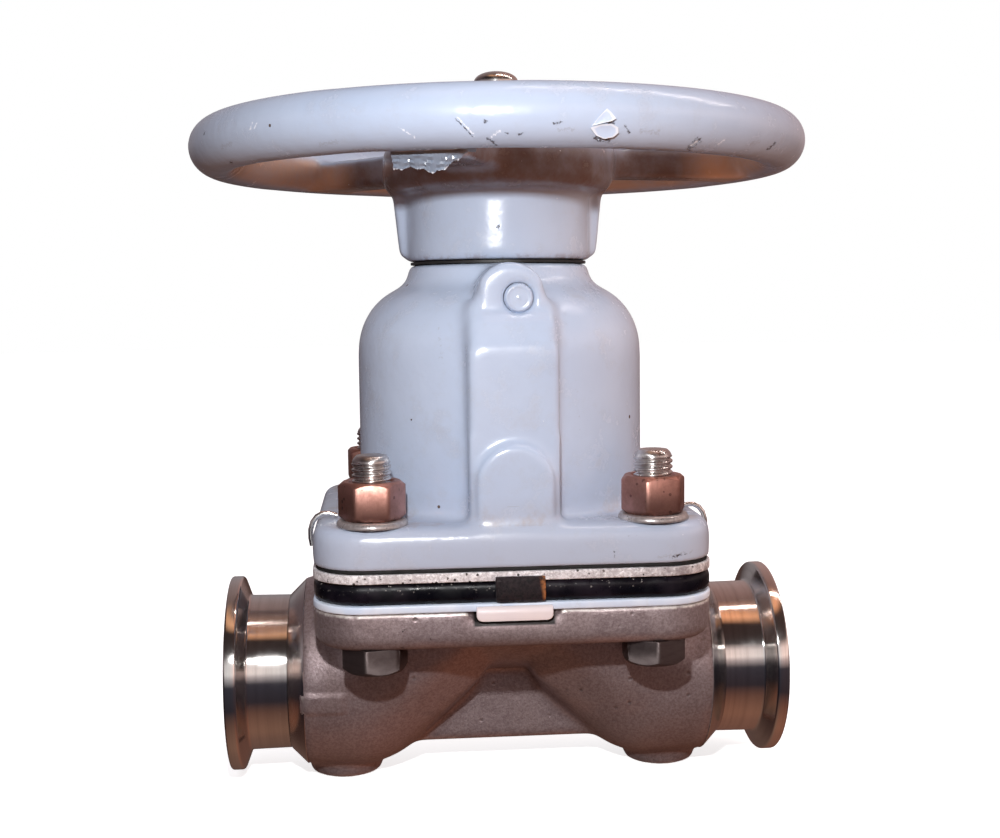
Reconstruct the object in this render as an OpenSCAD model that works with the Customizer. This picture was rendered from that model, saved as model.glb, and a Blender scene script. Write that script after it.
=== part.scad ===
// Weir-type diaphragm valve with clamp ferrules and a rising-stem handwheel.
// Origin: on the surface it stands on, under the stem. +X along the flow, +Z up the stem.

/* [Pipe ends] */
// Outside diameter of the tube that the ferrules match
tube_od = 50.8; // [49:0.1:53]
// Wall of that tube
tube_wall = 1.65; // [1.2:0.05:2.2]
// Diameter of the ferrule's clamp rim
ferrule_od = 64; // [62:0.1:68]
// Thickness of the clamp rim at its edge
ferrule_rim = 3.9; // [2.8:0.1:5]
// Length of each ferrule
ferrule_len = 19.5; // [16:0.5:24]
// Distance between the two ferrule faces
face_to_face = 182; // [178:1:196]
// Mean diameter of the gasket groove in the ferrule's face
groove_d = 56.2; // [55.5:0.1:57.5]

/* [Body casting] */
// Height of the pipe axis above the surface the valve stands on
axis_height = 34.2; // [33:0.1:38]
// Diameter of the casting round the pipe ends
barrel_d = 62; // [60:0.5:64]
// Where the straight barrel ends and the bowl begins, from the stem
bowl_x = 50; // [46:0.5:53]
// Thickness of the cast wall round the passage
cast_wall = 7; // [6:0.1:8]
// Height of the weir's crest above the pipe axis
weir_rise = 7; // [6:0.1:8]
// Half width of the weir where it meets the flange face
weir_half = 34; // [32:0.5:35]
// Radius of the opening in the flange face
mouth_r = 37; // [36.5:0.1:38]
// Thickness of the web under the weir
web_t = 14; // [8:0.5:20]
// Depth of the web below the pipe axis
web_drop = 24.5; // [20:0.5:28]
// Diameter of the two round bosses that it stands on
foot_d = 24.4; // [20:0.2:28]
// Distance of each boss from the stem
foot_x = 53.7; // [50:0.1:56]
// Height of the flange face above the pipe axis
flange_rise = 31.3; // [30.5:0.1:32.5]
// Thickness of the body's flange
body_flange_t = 11.8; // [10:0.1:13]

/* [Flange outline] */
// Length of the flanges along the flow
flange_x = 123; // [120:0.5:130]
// Width of the flanges across the flow
flange_y = 114; // [112:0.5:122]
// Radius of the flange corners
flange_corner = 16; // [10:0.5:17]
// Radius of the flanges' rounded edges
flange_edge = 4; // [2:0.5:5]

/* [Clamped stack] */
// Thickness of the PTFE diaphragm
ptfe_t = 2.4; // [2:0.1:3]
// Thickness of the rubber backing
rubber_t = 6.4; // [5.5:0.1:7]
// Thickness of the finger plate
plate_t = 3; // [2.5:0.1:3.5]
// Thickness of the bonnet gasket
gasket_t = 1.2; // [0.8:0.1:2]
// Width of the diaphragm's turned-down tab
ptfe_tab_w = 23; // [16:0.5:28]
// How far that tab sits to the right of the stem
ptfe_tab_x = -1.1; // [-4:0.1:4]
// Width of the finger plate's bent tab
plate_tab_w = 15; // [10:0.5:18]
// How far that tab sits to the right of the stem
plate_tab_x = 0.7; // [-4:0.1:4]

/* [Bonnet] */
// Radius of the bonnet's round part
bonnet_r = 47; // [46:0.1:49]
// Height of the bonnet
bonnet_h = 91.2; // [90:0.1:96]
// Thickness of the bonnet's flange
bonnet_flange_t = 12.5; // [11:0.1:14]
// Radius inside the bonnet
cavity_r = 39.5; // [38:0.1:40]
// Radius of the bonnet's neck
neck_r = 29.9; // [28:0.1:30.4]
// Length of the neck that holds the bush
neck_len = 13.8; // [12:0.1:16]
// Width of the ribs at front and back
rib_w = 27.7; // [24:0.1:32]
// Distance from the stem to the face of each rib
rib_y = 52; // [51:0.1:54]
// Radius of the boss at the top of each rib
rib_boss_r = 10.9; // [9:0.1:12]
// Radius of the arched pad at the foot of each rib
arch_r = 11.7; // [9:0.1:13]
// Diameter of the round plug in the front boss
plug_d = 9; // [7:0.1:11]
// How far the plug sits to one side of the boss's middle
plug_shift = 2.3; // [0:0.1:3]

/* [Fasteners] */
// Diameter of the flange bolts
bolt_d = 12; // [11:0.1:12.6]
// Clearance of the bolt holes on the diameter
bolt_clear = 1.2; // [0.8:0.1:2]
// Distance of each bolt from the flange's end, along the flow
bolt_edge_x = 18.5; // [16:0.5:19]
// Distance of each bolt from the flange's side, across the flow
bolt_edge_y = 10.9; // [10.5:0.1:12]
// Width across flats of the bolt heads and nuts
hex_af = 18; // [17:0.1:19]
// Height of the bolt heads
head_h = 7.5; // [6:0.1:9]
// Height of the nuts
nut_h = 10.8; // [9:0.1:12]
// Diameter of the washers
washer_od = 22.5; // [21:0.1:24]
// Thickness of the washers
washer_t = 2.5; // [1.6:0.1:3]
// How far each bolt stands out of its nut
bolt_reach = 7.8; // [5:0.1:11]
// Pitch of the bolt thread
bolt_pitch = 1.75; // [1.25:0.25:2]
// Diameter of the clip wire
wire_d = 1.6; // [1.2:0.1:2]

/* [Handwheel] */
// Outside diameter of the wheel
wheel_d = 199.4; // [185:0.1:220]
// Thickness of the round rim
rim_d = 17.6; // [15:0.1:20]
// Height of the rim's middle above the bottom of the hub
wheel_rise = 36.4; // [34:0.1:40]
// Radius of the hub
hub_r = 30.4; // [29:0.1:31]
// Height of the hub up to the disc
hub_h = 21.7; // [19:0.1:23]
// Radius of the disc between hub and spokes
disc_r = 38; // [36:0.5:42]
// Height of the hub's top face above the rim's middle
hub_top_rise = 3; // [0:0.5:5]
// Width of each spoke at its narrowest
spoke_w = 15; // [12:0.5:20]
// Thickness of the spokes
spoke_t = 10.5; // [8:0.5:12]
// Direction of the first spoke, in degrees from +X
spoke_start = 12; // [0:1:60]

/* [Stem and sleeve] */
// Travel of the stem from open to closed
travel = 27.5; // [26.5:0.1:29]
// Diameter of the stem's threaded part
stem_d = 20; // [18:0.1:20.4]
// Diameter of the stem's polished end
tip_d = 14.8; // [13:0.1:15.4]
// Height of the stem's end above the rim's middle when open
tip_rise = 26.1; // [24:0.1:30]
// Diameter of the sleeve where it turns in the bush
sleeve_d = 28; // [27:0.1:29]
// Diameter of the sleeve inside the hub
sleeve_top_d = 24; // [23:0.1:25]
// Outside diameter of the bush
bush_od = 34; // [33:0.1:36]
// Radius of the sleeve's thrust collar
collar_r = 21; // [19:0.1:22]
// Thickness of the thrust washers
thrust_t = 2; // [1.5:0.1:2.5]
// Width across flats of the wheel nut
wheel_nut_af = 36; // [34:0.5:40]
// Diameter of the compressor's column
column_d = 30; // [28:0.5:32]
// Number of fingers on the compressor
finger_n = 8; // [6:2:8]
// Width of each compressor finger
finger_w = 8.5; // [7:0.1:9]
// Distance the fingers reach from the stem
finger_reach = 34.5; // [32:0.1:35.5]

/* [Hidden] */
$fn = 96;

// Clearances
run_gap = 0.05;      // radial gap of a turning or sliding fit
press_gap = 0.02;    // radial gap left in a pressed or glued seat
seat_gap = 0.3;      // gap between parts that only come close
face_gap = 0.1;      // gap at a thrust face
slot_gap = 0.5;      // gap at each side of a finger or lug
over = 1;            // how far a cutter runs past a face

// Pipe ends
bore_r = tube_od / 2 - tube_wall;
body_bore_r = bore_r + 0.2;
body_half = face_to_face / 2 - ferrule_len;
barrel_r = barrel_d / 2;
taper = barrel_r - tube_od / 2;
bevel_angle = 20;

// Heights from the standing surface up
axis_z = axis_height;
face_z = axis_z + flange_rise;
crest_z = axis_z + weir_rise;
rubber_z = face_z + ptfe_t;
plate_z = rubber_z + rubber_t;
gasket_z = plate_z + plate_t;
bonnet_z = gasket_z + gasket_t;
bonnet_top = bonnet_z + bonnet_h;
flange_top = bonnet_z + bonnet_flange_t;
ceiling_z = bonnet_top - neck_len;
body_under = face_z - body_flange_t;

// Weir and passage
weir_drop = face_z - crest_z;
weir_r = (weir_half * weir_half + weir_drop * weir_drop) / (2 * weir_drop);
weir_bar = weir_half - 18;    // half length of the weir's straight root
root_x = 10.5;                // distance of the passage's root from the stem
root_r = 4;                   // radius of the passage at that root
back_r = 5.5;                 // radius of the casting round that root
belly_r = mouth_r - 8.5;      // radius of each bowl's round belly beside the weir
belly_x = belly_r + 6.5;      // middle of that belly, from the stem
belly_rise = 9;               // and above the pipe axis
throat_r = 20;                // radius of each passage at the flange face
tab_notch = [3, 3.2, 2.6];    // slope, height and depth of the notch for the tab

// Diaphragm
dome_rise = travel + seat_gap - weir_drop;
dome_out = mouth_r - 4;
dome_in = 12;
stud_r = 4;
stud_head_r = 8;
stud_head_t = 2;
ptfe_tab = [1.6, 2.7];        // thickness of the tab, and how far it turns down
plate_tab = [1.4, 4.6];

// Compressor, measured from its lowest point
comp_z = plate_z + dome_rise + 0.2;
comp_arc_r = weir_r - ptfe_t - rubber_t - seat_gap;
finger_h = 11;
stem_seat_h = 20;
lug_low_h = 34;
lug_h = 14;
lug_w = 13.6;
lug_y = cavity_r + 6.2;
finger_top = comp_z + finger_h;
socket_z = comp_z + stem_seat_h;
lug_z = comp_z + lug_low_h;
lug_top = lug_z + lug_h;
column_top = lug_top + 2;
nut_seat_z = comp_z + 2;
stud_nut_r = 8;
stud_nut_h = 12;
pin_z = (lug_z + lug_top) / 2;
pin_r = 3;

// Bonnet
shoulder_in = 20;             // how far the domed shoulder draws in
shoulder_h = 22;              // height of that dome
shoulder_low = 28.5;          // start of the dome below the neck's end
neck_fillet = 5;
// Rib's stepped top, from its face up: below the neck's end, behind the face
rib_slope = [[24.8, 0], [22.6, 2.2], [18.4, 2.9], [15.4, 6.4], [12, 9]];
rib_root = 30;                // distance of the rib's root from the stem
boss_back = 6.5;              // how far the boss stops behind the rib's face
boss_z = bonnet_top - rib_boss_r - 0.2;
arch_z = bonnet_z + 24.7;
arch_out = 2.6;               // how far the arched pad stands out of the rib
plug_len = 8;
cavity_slope = [[0, 16], [5.5, 6], [cavity_r - collar_r - 5, 0]];   // in from the wall, below the ceiling

// Handwheel
hub_z = bonnet_top + 1;
wheel_z = hub_z + wheel_rise;
disc_z = hub_z + hub_h;
hub_top = wheel_z + hub_top_rise;
rim_r = rim_d / 2;
ring_r = wheel_d / 2 - rim_r;
spoke_n = 3;
spoke_z = wheel_z - rim_r + 0.2;

// Sleeve and stem
hub_seat_z = bonnet_top + thrust_t + 2 * face_gap;
sleeve_r = sleeve_d / 2;
sleeve_top_r = sleeve_top_d / 2;
bush_r = bush_od / 2;
collar_t = 5;
collar_top = ceiling_z - thrust_t - face_gap;
sleeve_z = collar_top - collar_t - 9;
washer_thin = 1.5;
wheel_nut_h = 9;
wheel_nut_z = hub_top + washer_thin;
sleeve_top = wheel_nut_z + wheel_nut_h + 1.5;
tip_z = wheel_z + tip_rise;
shoulder_z = hub_top - 5;
stem_r = stem_d / 2;
tip_r = tip_d / 2;
key_w = 6;
key_in = 2;
key_h = 4;
thrust_seat_r = 20;
tab_washer_r = 22;
rib_out = [2.2, 4.4];         // how far the hub's two ribs stand out, at foot and top
hub_rib_w = 8;

// Fasteners
bolt_r = bolt_d / 2;
bolt_hole_r = bolt_r + bolt_clear / 2;
bolt_nut_z = flange_top + washer_t;
bolt_top = bolt_nut_z + nut_h + bolt_reach;
wire_r = wire_d / 2;
bolt_pitch_x = flange_x - 2 * bolt_edge_x;
bolt_pitch_y = flange_y - 2 * bolt_edge_y;
bolt_nose = [[0, 1.6], [1.3, 0.4], [3, 0]];   // domed end: in from the thread, below the top

// Colours
cast_steel = "#8a7f78";
bright_steel = "#c9c4c0";
coating = "#b8c4d6";
bronze = "#a8735a";
black_rubber = "#1e1e20";
ptfe_white = "#dfe8f2";

// ---- shared shapes ----

// Flange outline with round corners
module flange_outline() {
    square([flange_x - 2 * flange_corner, flange_y], center = true);
    square([flange_x, flange_y - 2 * flange_corner], center = true);
    for (sx = [-1, 1], sy = [-1, 1])
        translate([sx * (flange_x / 2 - flange_corner), sy * (flange_y / 2 - flange_corner)])
            circle(flange_corner);
}

module at_bolts() {
    for (sx = [-1, 1], sy = [-1, 1])
        translate([sx * bolt_pitch_x / 2, sy * bolt_pitch_y / 2, 0]) children();
}

// Four through holes between two heights
module bolt_holes(low, high) {
    at_bolts() translate([0, 0, low - over]) cylinder(r = bolt_hole_r, h = high - low + 2 * over);
}

// One flat clamped sheet, with its bolt holes
module clamped_sheet(low, thick) {
    difference() {
        translate([0, 0, low]) linear_extrude(thick) flange_outline();
        bolt_holes(low, low + thick);
    }
}

// Thick flange whose edge is rounded at its top or at its bottom
module rounded_flange(low, thick, round_top) {
    post_x = flange_x / 2 - flange_corner;
    post_y = flange_y / 2 - flange_corner;
    hull() for (sx = [-1, 1], sy = [-1, 1])
        translate([sx * post_x, sy * post_y, round_top ? low : low + thick])
            mirror([0, 0, round_top ? 0 : 1])
                rotate_extrude($fn = 48) polygon(concat([[0, 0], [flange_corner, 0]],
                    [for (a = [0:15:90]) [flange_corner - flange_edge * (1 - cos(a)),
                        thick - flange_edge * (1 - sin(a))]], [[0, thick]]));
}

// Flat ring
module ring(inner, outer, low, thick) {
    translate([0, 0, low]) rotate_extrude() translate([inner, 0]) square([outer - inner, thick]);
}

// Round-section ring
module o_ring(middle, section, z) {
    translate([0, 0, z]) rotate_extrude() translate([middle, 0]) circle(section, $fn = 32);
}

// Hexagon with its corners turned off at the top, and at the bottom if asked
module turned_hexagon(across, height, both) {
    corner = across / 2 / cos(30);
    cut = corner - across / 2;
    low_r = both ? across / 2 : corner;
    intersection() {
        cylinder(r = corner, h = height, $fn = 6);
        rotate_extrude() polygon([[0, 0], [low_r, 0], [corner, both ? cut * 0.6 : 0],
            [corner, height - cut * 0.6], [across / 2, height], [0, height]]);
    }
}

// ---- pipe side ----

// Rounded end of the given radius, pointing along +X
module dome_end(r) {
    rotate([0, 90, 0]) rotate_extrude($fn = 48)
        polygon(concat([[0, 0]], [for (a = [0:9:90]) [r * cos(a), r * sin(a)]]));
}

// Bowl on one side: barrel, round belly, the wall round the passage's root and the block under the flange
module bowl_outside() {
    under = flange_rise - body_flange_t;
    hull() {
        translate([-body_half + taper, 0, 0]) rotate([0, 90, 0])
            cylinder(r = barrel_r, h = body_half - taper - bowl_x, $fn = 48);
        translate([-bowl_x, 0, -1]) dome_end(body_bore_r + cast_wall);
        translate([-belly_x, 0, belly_rise]) sphere(r = belly_r, $fn = 40);
        translate([-root_x - 1, weir_bar + cast_wall, weir_rise]) rotate([90, 0, 0])
            cylinder(r = back_r, h = 2 * (weir_bar + cast_wall), $fn = 24);
        translate([-mouth_r + 6, 0, under]) cylinder(r = mouth_r - 6, h = 1, $fn = 48);
        translate([-throat_r, -weir_half, under])
            cube([throat_r - root_x + 2, 2 * weir_half, 1]);
    }
}

// Arched wall under the weir, between the two bowls
module weir_saddle() {
    intersection() {
        translate([-root_x, 0, crest_z + weir_r]) rotate([0, 90, 0])
            cylinder(r = weir_r + cast_wall, h = 2 * root_x);
        translate([-root_x, -weir_half, axis_z - cast_wall])
            cube([2 * root_x, 2 * weir_half, body_under + 1 - axis_z + cast_wall]);
    }
}

// Passage on one side, from the bore up to the mouth
module bowl_inside() {
    hull() {
        translate([-bowl_x, 0, 0]) dome_end(body_bore_r);
        translate([-root_x, weir_bar, weir_rise + root_r]) rotate([90, 0, 0])
            cylinder(r = root_r, h = 2 * weir_bar, $fn = 24);
        translate([throat_r - mouth_r, 0, flange_rise - 2])
            cylinder(r = throat_r, h = 2 + over, $fn = 48);
    }
}

module valve_body() {
    notch_w = ptfe_tab_w / 2 + tab_notch[0];
    color(cast_steel) difference() {
        union() {
            translate([0, 0, axis_z]) {
                for (m = [0, 1]) mirror([m, 0, 0]) bowl_outside();
                for (m = [0, 1]) mirror([m, 0, 0]) translate([-body_half, 0, 0]) rotate([0, 90, 0])
                    cylinder(r1 = tube_od / 2, r2 = barrel_r, h = taper);
                translate([-foot_x + 8, -web_t / 2, -web_drop])
                    cube([2 * foot_x - 16, web_t, web_drop + flange_rise - body_flange_t]);
            }
            weir_saddle();
            for (s = [-1, 1]) translate([s * foot_x, 0, 0])
                cylinder(r = foot_d / 2, h = axis_z - 10);
            rounded_flange(body_under, body_flange_t, false);
        }
        translate([0, 0, axis_z]) {
            for (m = [0, 1]) mirror([m, 0, 0]) bowl_inside();
            for (s = [-1, 1]) translate([s * (body_half + bowl_x) / 2, 0, 0]) rotate([0, 90, 0])
                cylinder(r = body_bore_r, h = body_half - bowl_x + 2 * over, center = true);
        }
        intersection() {
            translate([-mouth_r, 0, crest_z + weir_r]) rotate([0, 90, 0])
                cylinder(r = weir_r, h = 2 * mouth_r);
            cylinder(r = mouth_r, h = face_z + over);
            translate([-mouth_r, -mouth_r, 0]) cube([2 * mouth_r, 2 * mouth_r, face_z + over]);
        }
        bolt_holes(body_under, face_z);
        translate([-body_half, -flange_y / 2, face_z]) cube([2 * body_half, flange_y, barrel_r]);
        translate([ptfe_tab_x, -flange_y / 2 - over, face_z]) rotate([-90, 0, 0])
            linear_extrude(over + tab_notch[2]) polygon([[-notch_w, -over], [-notch_w, 0],
                [-ptfe_tab_w / 2, tab_notch[1]], [ptfe_tab_w / 2, tab_notch[1]],
                [notch_w, 0], [notch_w, -over]]);
    }
}

// Clamp ferrule, its face looking along -X
module ferrule() {
    rim_end = ferrule_rim;
    bevel_end = rim_end + (ferrule_od - tube_od) / 2 * tan(bevel_angle);
    translate([-face_to_face / 2, 0, axis_z]) rotate([0, 90, 0]) difference() {
        rotate_extrude() polygon([[bore_r, 0], [ferrule_od / 2 - 0.5, 0], [ferrule_od / 2, 0.5],
            [ferrule_od / 2, rim_end - 0.4], [ferrule_od / 2 - 0.4, rim_end],
            [tube_od / 2 + 0.8, bevel_end], [tube_od / 2, bevel_end + 1.2],
            [tube_od / 2, ferrule_len], [bore_r, ferrule_len]]);
        rotate_extrude() translate([groove_d / 2, 0]) circle(1.6, $fn = 32);
    }
}

module inlet_ferrule() {
    color(bright_steel) ferrule();
}

module outlet_ferrule() {
    color(bright_steel) mirror([1, 0, 0]) ferrule();
}

// ---- clamped stack ----

module diaphragm() {
    color(ptfe_white) {
        difference() {
            clamped_sheet(face_z, ptfe_t);
            translate([0, 0, face_z - over]) cylinder(r = mouth_r - 1, h = ptfe_t + 2 * over);
        }
        translate([0, 0, face_z]) rotate_extrude() polygon([[0, dome_rise], [dome_in, dome_rise],
            [dome_out, 0], [mouth_r, 0], [mouth_r, ptfe_t], [dome_out, ptfe_t],
            [dome_in, dome_rise + ptfe_t], [0, dome_rise + ptfe_t]]);
        translate([ptfe_tab_x - ptfe_tab_w / 2, -flange_y / 2 - ptfe_tab[0], face_z - ptfe_tab[1]])
            cube([ptfe_tab_w, ptfe_tab[0], ptfe_t + ptfe_tab[1]]);
        translate([ptfe_tab_x - ptfe_tab_w / 2, -flange_y / 2, face_z - ptfe_tab[1]])
            cube([ptfe_tab_w, tab_notch[2] - 0.4, ptfe_tab[1]]);
    }
}

module diaphragm_backing() {
    head_top = ptfe_t + dome_rise + stud_head_t + 0.2;
    color(black_rubber) difference() {
        union() {
            difference() {
                clamped_sheet(rubber_z, rubber_t);
                translate([0, 0, rubber_z - over])
                    cylinder(r = mouth_r - 1, h = rubber_t + 2 * over);
            }
            translate([0, 0, rubber_z]) rotate_extrude() polygon([
                [stud_r + 0.2, dome_rise + rubber_t], [dome_in + 2, dome_rise + rubber_t],
                [dome_in + 9, rubber_t], [mouth_r, rubber_t], [mouth_r, 0], [dome_out, 0],
                [dome_in, dome_rise], [stud_head_r + 0.2, dome_rise],
                [stud_head_r + 0.2, head_top - ptfe_t], [stud_r + 0.2, head_top - ptfe_t]]);
        }
        translate([plate_tab_x - plate_tab_w / 2 - 1, -flange_y / 2 - over, rubber_z + 0.8])
            cube([plate_tab_w + 2, over + 1.8, rubber_t]);
    }
}

module finger_plate() {
    slot_w = finger_w + 2 * slot_gap;
    color("#9a9896") {
        difference() {
            clamped_sheet(plate_z, plate_t);
            translate([0, 0, plate_z - over]) cylinder(r = dome_in + 10, h = plate_t + 2 * over);
            for (a = [0:360 / finger_n:359]) rotate(a)
                translate([0, -slot_w / 2, plate_z - over])
                    cube([finger_reach + 1.2, slot_w, plate_t + 2 * over]);
        }
        translate([plate_tab_x - plate_tab_w / 2, -flange_y / 2 - plate_tab[0], plate_z - plate_tab[1]])
            cube([plate_tab_w, plate_tab[0], plate_t + plate_tab[1]]);
    }
}

module bonnet_gasket() {
    color("#111112") difference() {
        clamped_sheet(gasket_z, gasket_t);
        translate([0, 0, gasket_z - over]) cylinder(r = cavity_r, h = gasket_t + 2 * over);
    }
}

// ---- bonnet ----

// Outside of the bonnet's round part: cylinder, domed shoulder and fillet to the neck
function bonnet_profile() = concat(
    [[0, bonnet_z], [bonnet_r, bonnet_z]],
    [for (t = [0:8:72]) [bonnet_r - shoulder_in * (1 - cos(t)),
        bonnet_top - shoulder_low + shoulder_h * sin(t)]],
    [for (t = [64:-16:0]) [neck_r + neck_fillet * (1 - cos(t)),
        bonnet_top - neck_fillet / 2 - neck_fillet * sin(t)]],
    [[neck_r, bonnet_top], [0, bonnet_top]]);

module bonnet() {
    color(coating) difference() {
        union() {
            rounded_flange(bonnet_z, bonnet_flange_t, true);
            rotate_extrude() polygon(bonnet_profile());
            for (m = [0, 1]) mirror([0, m, 0]) {
                translate([rib_w / 2, 0, 0]) rotate([0, -90, 0])
                    linear_extrude(rib_w) polygon(concat(
                        [[bonnet_z, -rib_root], [bonnet_z, -rib_y]],
                        [for (p = rib_slope) [bonnet_top - p[0], p[1] - rib_y]],
                        [[bonnet_top - rib_slope[4][0], -rib_root]]));
                translate([0, -neck_r + 10, boss_z]) rotate([90, 0, 0])
                    cylinder(r = rib_boss_r, h = rib_y - boss_back - neck_r + 10);
                translate([0, 2 - rib_y, 0]) rotate([90, 0, 0]) linear_extrude(arch_out + 2) {
                    translate([0, arch_z]) circle(arch_r);
                    translate([-arch_r, bonnet_z + 2])
                        square([2 * arch_r, arch_z - bonnet_z - 2]);
                }
            }
        }
        rotate_extrude() polygon(concat([[0, bonnet_z - over], [cavity_r, bonnet_z - over]],
            [for (p = cavity_slope) [cavity_r - p[0], ceiling_z - p[1]]], [[0, ceiling_z]]));
        for (s = [0, 180]) rotate(s)
            translate([-(lug_w + slot_gap) / 2, -lug_y - seat_gap, bonnet_z - over])
                cube([lug_w + slot_gap, lug_y + seat_gap - bush_r, lug_top + 2 - bonnet_z + over]);
        translate([0, 0, ceiling_z - over]) cylinder(r = bush_r, h = neck_len + 2 * over);
        translate([plug_shift, boss_back + plug_len - rib_y, boss_z]) rotate([90, 0, 0])
            cylinder(r = plug_d / 2, h = plug_len + over);
        bolt_holes(bonnet_z, flange_top);
    }
}

module bonnet_plug() {
    r = plug_d / 2 - press_gap;
    end = plug_len + 0.1;
    color(coating) translate([plug_shift, boss_back + plug_len - rib_y, boss_z])
        rotate([90, 0, 0]) rotate_extrude() polygon([[0, 0], [r, 0], [r, end + 0.4],
            [r - 0.7, end + 0.4], [r - 1, end], [0.5, end], [0.25, end - 0.3], [0, end - 0.3]]);
}

module bonnet_bush() {
    low = ceiling_z + face_gap;
    len = neck_len - 3 * face_gap;
    color(bronze) difference() {
        ring(sleeve_r + run_gap, bush_r - press_gap, low, len);
        for (f = [0.3, 0.7]) ring(sleeve_r, sleeve_r + 1.9, low + f * len - 1, 2);
    }
}

module sleeve_seals() {
    low = ceiling_z + face_gap;
    len = neck_len - 3 * face_gap;
    color(black_rubber) for (f = [0.3, 0.7]) o_ring(sleeve_r + 0.98, 0.88, low + f * len);
}

module neck_seal() {
    color("#0e0e0f") ring(neck_r - 5, neck_r - 0.8, bonnet_top, 0.8);
}

// ---- fasteners ----

// Bolt shank from under the head to its domed end, with thread grooves above the nut
module bolt_shank(low, high) {
    depth = 0.9;
    groove_n = floor((bolt_reach - bolt_nose[0][1]) / bolt_pitch);
    first = high - bolt_nose[0][1] - groove_n * bolt_pitch;
    translate([0, 0, low]) rotate_extrude() polygon(concat([[0, 0], [bolt_r, 0]],
        [for (i = [0:groove_n - 1], k = [0:2])
            [bolt_r - (k == 1 ? depth : 0), first - low + (i + 0.1 + 0.4 * k) * bolt_pitch]],
        [for (p = bolt_nose) [bolt_r - p[0], high - low - p[1]]], [[0, high - low]]));
}

module flange_bolts() {
    color(bright_steel) at_bolts() {
        translate([0, 0, body_under]) mirror([0, 0, 1]) rotate(8) turned_hexagon(hex_af, head_h, false);
        bolt_shank(body_under, bolt_top);
    }
}

module flange_washers() {
    color(bright_steel) at_bolts()
        ring(bolt_hole_r, washer_od / 2, flange_top, washer_t);
}

module flange_nuts() {
    color(bronze) at_bolts() difference() {
        translate([0, 0, bolt_nut_z]) rotate(-4) turned_hexagon(hex_af, nut_h, true);
        translate([0, 0, bolt_nut_z - over]) cylinder(r = bolt_r + press_gap, h = nut_h + 2 * over);
    }
}

// Wire clip that hooks over the bonnet's flange and ends beside the finger plate
module clip_wire() {
    bend = flange_edge + 1.2;
    wire_x = -flange_x / 2 - wire_r - 0.2;
    top = flange_top + wire_r + 0.1;
    translate([wire_x, -bolt_pitch_y / 2 + 13, 0]) {
        translate([0, 0, plate_z + seat_gap])
            cylinder(r = wire_r, h = top - bend - plate_z - seat_gap, $fn = 24);
        translate([bend, 0, top - bend]) rotate([90, 0, 0]) rotate([0, 0, 90])
            rotate_extrude(angle = 90) translate([bend, 0]) circle(wire_r, $fn = 24);
        translate([bend, 0, top]) rotate([0, 90, 0]) cylinder(r = wire_r, h = 4, $fn = 24);
    }
}

module clip_wire_left() {
    color(bright_steel) clip_wire();
}

module clip_wire_right() {
    color(bright_steel) mirror([1, 0, 0]) clip_wire();
}

// ---- handwheel and what turns with it ----

// Plan of one spoke along +X, flared into the disc and into the rim
module spoke_plan() {
    from = disc_r - 4;
    to = ring_r;
    flare = 15;
    difference() {
        translate([from, -spoke_w / 2 - flare]) square([to - from, spoke_w + 2 * flare]);
        for (s = [-1, 1]) translate([(from + to) / 2, s * (spoke_w / 2 + flare)]) {
            square([to - from - 2 * flare, 2 * flare], center = true);
            for (e = [-1, 1]) translate([e * ((to - from) / 2 - flare), 0]) circle(flare);
        }
    }
}

module handwheel() {
    keyway_r = sleeve_top_r + key_h - key_in + 0.2;
    color(coating) difference() {
        union() {
            translate([0, 0, wheel_z]) rotate_extrude($fn = 160) translate([ring_r, 0])
                circle(rim_r, $fn = 64);
            rotate_extrude() polygon([[0, hub_z], [hub_r - 0.8, hub_z], [hub_r, hub_z + 0.8],
                [hub_r, disc_z], [disc_r - 1.5, disc_z + 1.2], [disc_r, disc_z + 3],
                [disc_r, hub_top - 4], [disc_r - 4, hub_top], [0, hub_top]]);
            for (i = [0:spoke_n - 1]) rotate(spoke_start + i * 360 / spoke_n)
                translate([0, 0, spoke_z]) linear_extrude(spoke_t) spoke_plan();
            for (a = [0, 180]) rotate(a) translate([0, hub_rib_w / 2, 0]) rotate([90, 0, 0])
                linear_extrude(hub_rib_w) polygon([[hub_r - 3, hub_z + 0.8],
                    [hub_r + rib_out[0], hub_z + 2], [hub_r + rib_out[1], disc_z + 2],
                    [hub_r - 3, disc_z + 2]]);
        }
        translate([0, 0, hub_z - over])
            cylinder(r = sleeve_top_r + press_gap, h = hub_top - hub_z + 2 * over);
        translate([0, 0, hub_z - over]) cylinder(r = thrust_seat_r, h = hub_seat_z - hub_z + over);
        translate([0, -key_w / 2, hub_seat_z - 0.5])
            cube([keyway_r, key_w, hub_top - hub_seat_z + 0.5 + over]);
    }
}

module drive_sleeve() {
    groove_z = wheel_nut_z + wheel_nut_h / 2;
    color(bronze) difference() {
        rotate_extrude() polygon([[stem_r + run_gap, sleeve_z], [stem_r + 5, sleeve_z],
            [stem_r + 5, collar_top - collar_t], [collar_r, collar_top - collar_t],
            [collar_r, collar_top], [sleeve_r, collar_top], [sleeve_r, hub_seat_z],
            [sleeve_top_r, hub_seat_z], [sleeve_top_r, sleeve_top], [tip_r + run_gap, sleeve_top],
            [tip_r + run_gap, groove_z + 1.1], [tip_r + 1.97, groove_z + 1.1],
            [tip_r + 1.97, groove_z - 1.1], [tip_r + run_gap, groove_z - 1.1],
            [tip_r + run_gap, shoulder_z + seat_gap], [stem_r + run_gap, shoulder_z + seat_gap]]);
        translate([sleeve_top_r - key_in, -key_w / 2, hub_seat_z + 3])
            cube([key_in + over, key_w, hub_top - hub_seat_z - 6]);
    }
}

module thrust_washer_lower() {
    color("#b08d57") ring(sleeve_r + 0.1, collar_r, collar_top, thrust_t);
}

module thrust_washer_upper() {
    color("#b08d57") ring(sleeve_r + 0.1, thrust_seat_r - 0.4, bonnet_top + face_gap, thrust_t);
}

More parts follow.
